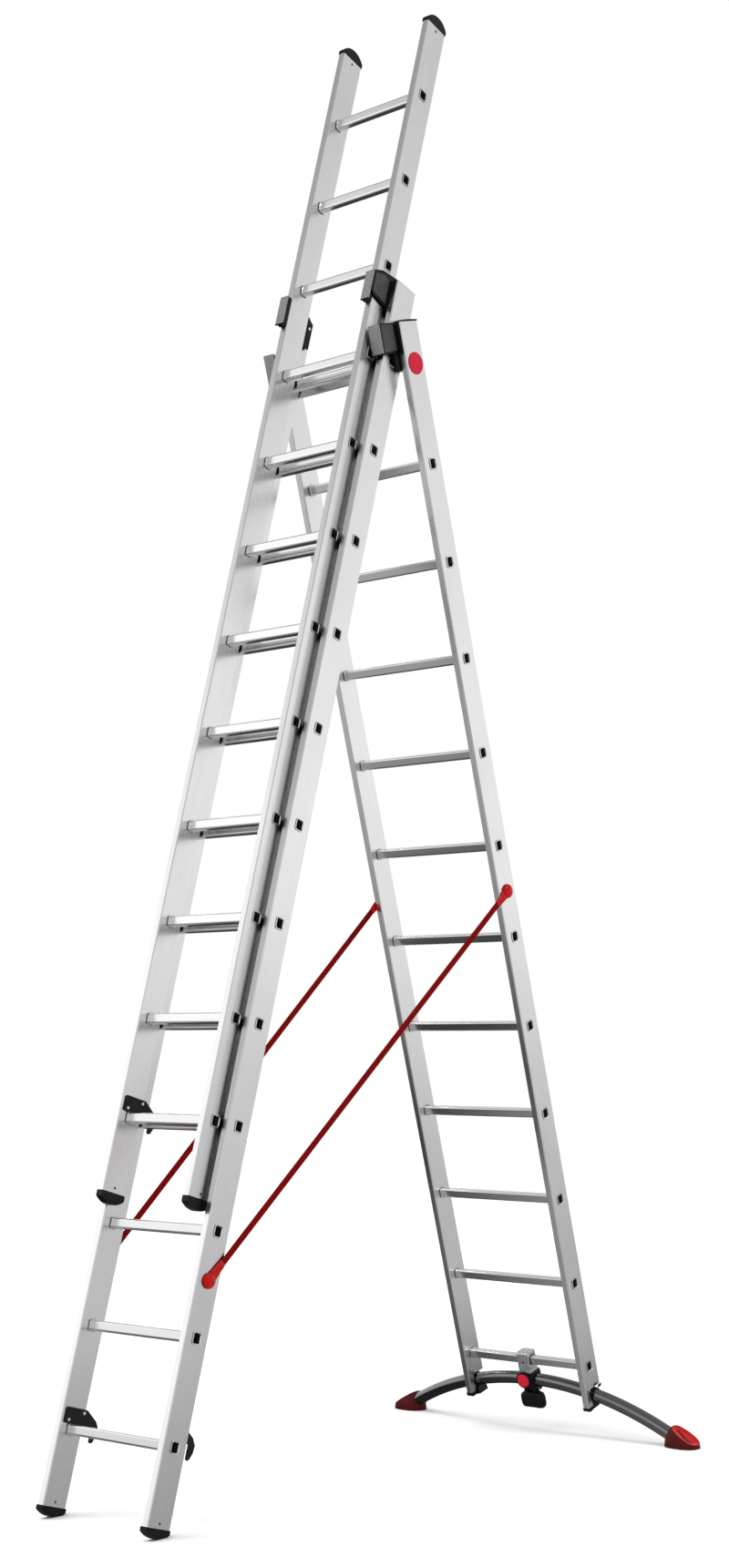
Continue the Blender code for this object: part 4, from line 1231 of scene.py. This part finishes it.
def shown_to(tree, ray, usual, other):
    """One shader, and another for rays of the kind named."""
    path = tree.nodes.new("ShaderNodeLightPath")
    mix = tree.nodes.new("ShaderNodeMixShader")
    tree.links.new(path.outputs[ray], mix.inputs["Fac"])
    tree.links.new(usual, mix.inputs[1])
    tree.links.new(other, mix.inputs[2])
    return mix.outputs["Shader"]


def make_floor():
    """A pale floor. To reflections it glows, with painted dark and bright areas from a ramp for each side.
    """
    bm = bmesh.new()
    bmesh.ops.create_circle(bm, cap_ends=True, segments=96, radius=FLOOR_RADIUS)
    material, tree, shader = shader_material("floor", 0.92, 0.9)
    floor = add_piece("floor", bm, [material], Matrix.Translation((0.0, 0.0, -FLOOR_DROP)), smooth=False)
    across, back, _ = split_coordinates(tree, "Object")
    place = map_range(tree, calculate(tree, "ADD", across, back), 0.0, 1.0, *FLOOR_RANGE)
    left_side = map_range(tree, calculate(tree, "SUBTRACT", back, across), 0.0, 1.0, *FLOOR_SIDES)
    right, left = grey_ramp(tree, place, FLOOR_RIGHT), grey_ramp(tree, place, FLOOR_LEFT)
    seen = tree.nodes.new("ShaderNodeEmission")
    tree.links.new(between(tree, right, left, left_side), seen.inputs["Color"])
    surface = shown_to(tree, "Is Glossy Ray", shader.outputs["BSDF"], seen.outputs["Emission"])
    tree.links.new(surface, tree.nodes["Material Output"].inputs["Surface"])


def room_brightness(tree):
    """What polished metal sees of the studio: a direction's height picks its brightness on the
    ramps for the two bright sides, and it falls off towards the darker side."""
    across, back, up = split_coordinates(tree, "Generated")
    right = grey_ramp(tree, up, ROOM_RIGHT)
    left = grey_ramp(tree, up, ROOM_LEFT)
    side = map_range(tree, calculate(tree, "ADD", across, back), 0.0, 1.0, *ROOM_SIDES)
    light = between(tree, left, right, side)
    towards_dark = calculate(tree, "SUBTRACT", across, back)
    shade = map_range(tree, towards_dark, 1.0, ROOM_DARK, *ROOM_DARK_RANGE)
    return calculate(tree, "MULTIPLY", light, shade)


def make_world():
    """White to the camera, even grey to matte surfaces, and a studio room to metal."""
    world = bpy.data.worlds.new("studio")
    bpy.context.scene.world = world
    world.use_nodes = True
    tree = world.node_tree
    even = tree.nodes["Background"]
    even.inputs["Color"].default_value = (0.55, 0.55, 0.56, 1.0)
    room = tree.nodes.new("ShaderNodeBackground")
    room.inputs["Strength"].default_value = ROOM_PEAK
    tree.links.new(room_brightness(tree), room.inputs["Color"])
    backdrop = tree.nodes.new("ShaderNodeBackground")
    backdrop.inputs["Color"].default_value = (1.0, 1.0, 1.0, 1.0)
    shown = shown_to(tree, "Is Glossy Ray", even.outputs["Background"], room.outputs["Background"])
    shown = shown_to(tree, "Is Camera Ray", shown, backdrop.outputs["Background"])
    tree.links.new(shown, tree.nodes["World Output"].inputs["Surface"])


def direction(azimuth, elevation):
    """Azimuth 0 is in front of the ladder, and 90 is at its +X side. Angles in degrees."""
    a, e = math.radians(azimuth), math.radians(elevation)
    return Vector((math.sin(a) * math.cos(e), -math.cos(a) * math.cos(e), math.sin(e)))


def add_lamp(name, kind, away, energy):
    lamp = bpy.data.objects.new(name, bpy.data.lights.new(name, kind))
    lamp.data.energy = energy
    lamp.rotation_euler = away.to_track_quat("Z", "Y").to_euler()
    bpy.context.scene.collection.objects.link(lamp)
    return lamp


def add_softbox(name, azimuth, elevation, distance, size, power):
    """A square area light that faces the middle of the ladder."""
    away = direction(azimuth, elevation)
    lamp = add_lamp(name, "AREA", away, power)
    lamp.data.size = size
    low, high = CAD_BOX
    lamp.location = (low + high) / 2 + away * distance


def add_sun(name, azimuth, elevation, strength, spread):
    """A wide, soft sun for even light on matte surfaces and a faint contact shadow."""
    lamp = add_lamp(name, "SUN", direction(azimuth, elevation), strength)
    lamp.data.angle = math.radians(spread)
    lamp.visible_glossy = False


def make_camera():
    data = bpy.data.cameras.new("camera")
    data.sensor_width = 36.0
    data.lens = CAMERA_LENS
    data.shift_x, data.shift_y = CAMERA_SHIFT
    camera = bpy.data.objects.new("camera", data)
    bpy.context.scene.collection.objects.link(camera)
    camera.location = CAMERA_PLACE
    camera.rotation_euler = [math.radians(angle) for angle in CAMERA_TURN]
    bpy.context.scene.camera = camera


make_camera()
make_floor()
make_world()
add_softbox("highlight_softbox", azimuth=98, elevation=38, distance=7.0, size=1.4, power=110)
add_sun("soft_sun", azimuth=-30, elevation=60, strength=2.6, spread=60)
bpy.context.scene.view_settings.view_transform = "Standard"

for section in (FRONT, MIDDLE, REAR):
    make_rungs(section)

for side_name in SIDES:
    make_stile(FRONT, side_name)
    make_stile(MIDDLE, side_name, [("pivot_bore", pivot_bore_cutter(side_name))])
    make_stile(REAR, side_name, [("bar_notch", notch_cutter(side_name))])
    make_stile_ends(side_name)
    make_tongue_tip(side_name)
    make_hook_rivets(FRONT, side_name)
    make_hook_rivets(MIDDLE, side_name)
    make_guide(side_name)
    make_hinge_bracket(side_name)
    make_badge(side_name)
    make_strap(side_name)
    make_bar_guide(side_name)
    make_shoe(side_name)

make_stile_rivets(FRONT, ((FRONT.top, -1), (FRONT.bottom, 1)))
make_stile_rivets(MIDDLE, ((MIDDLE.bottom, 1),))
make_bar()
make_clamp_saddle()
make_clamp_shell()
make_clamp_disc()
make_pedal()
finish_hooks()
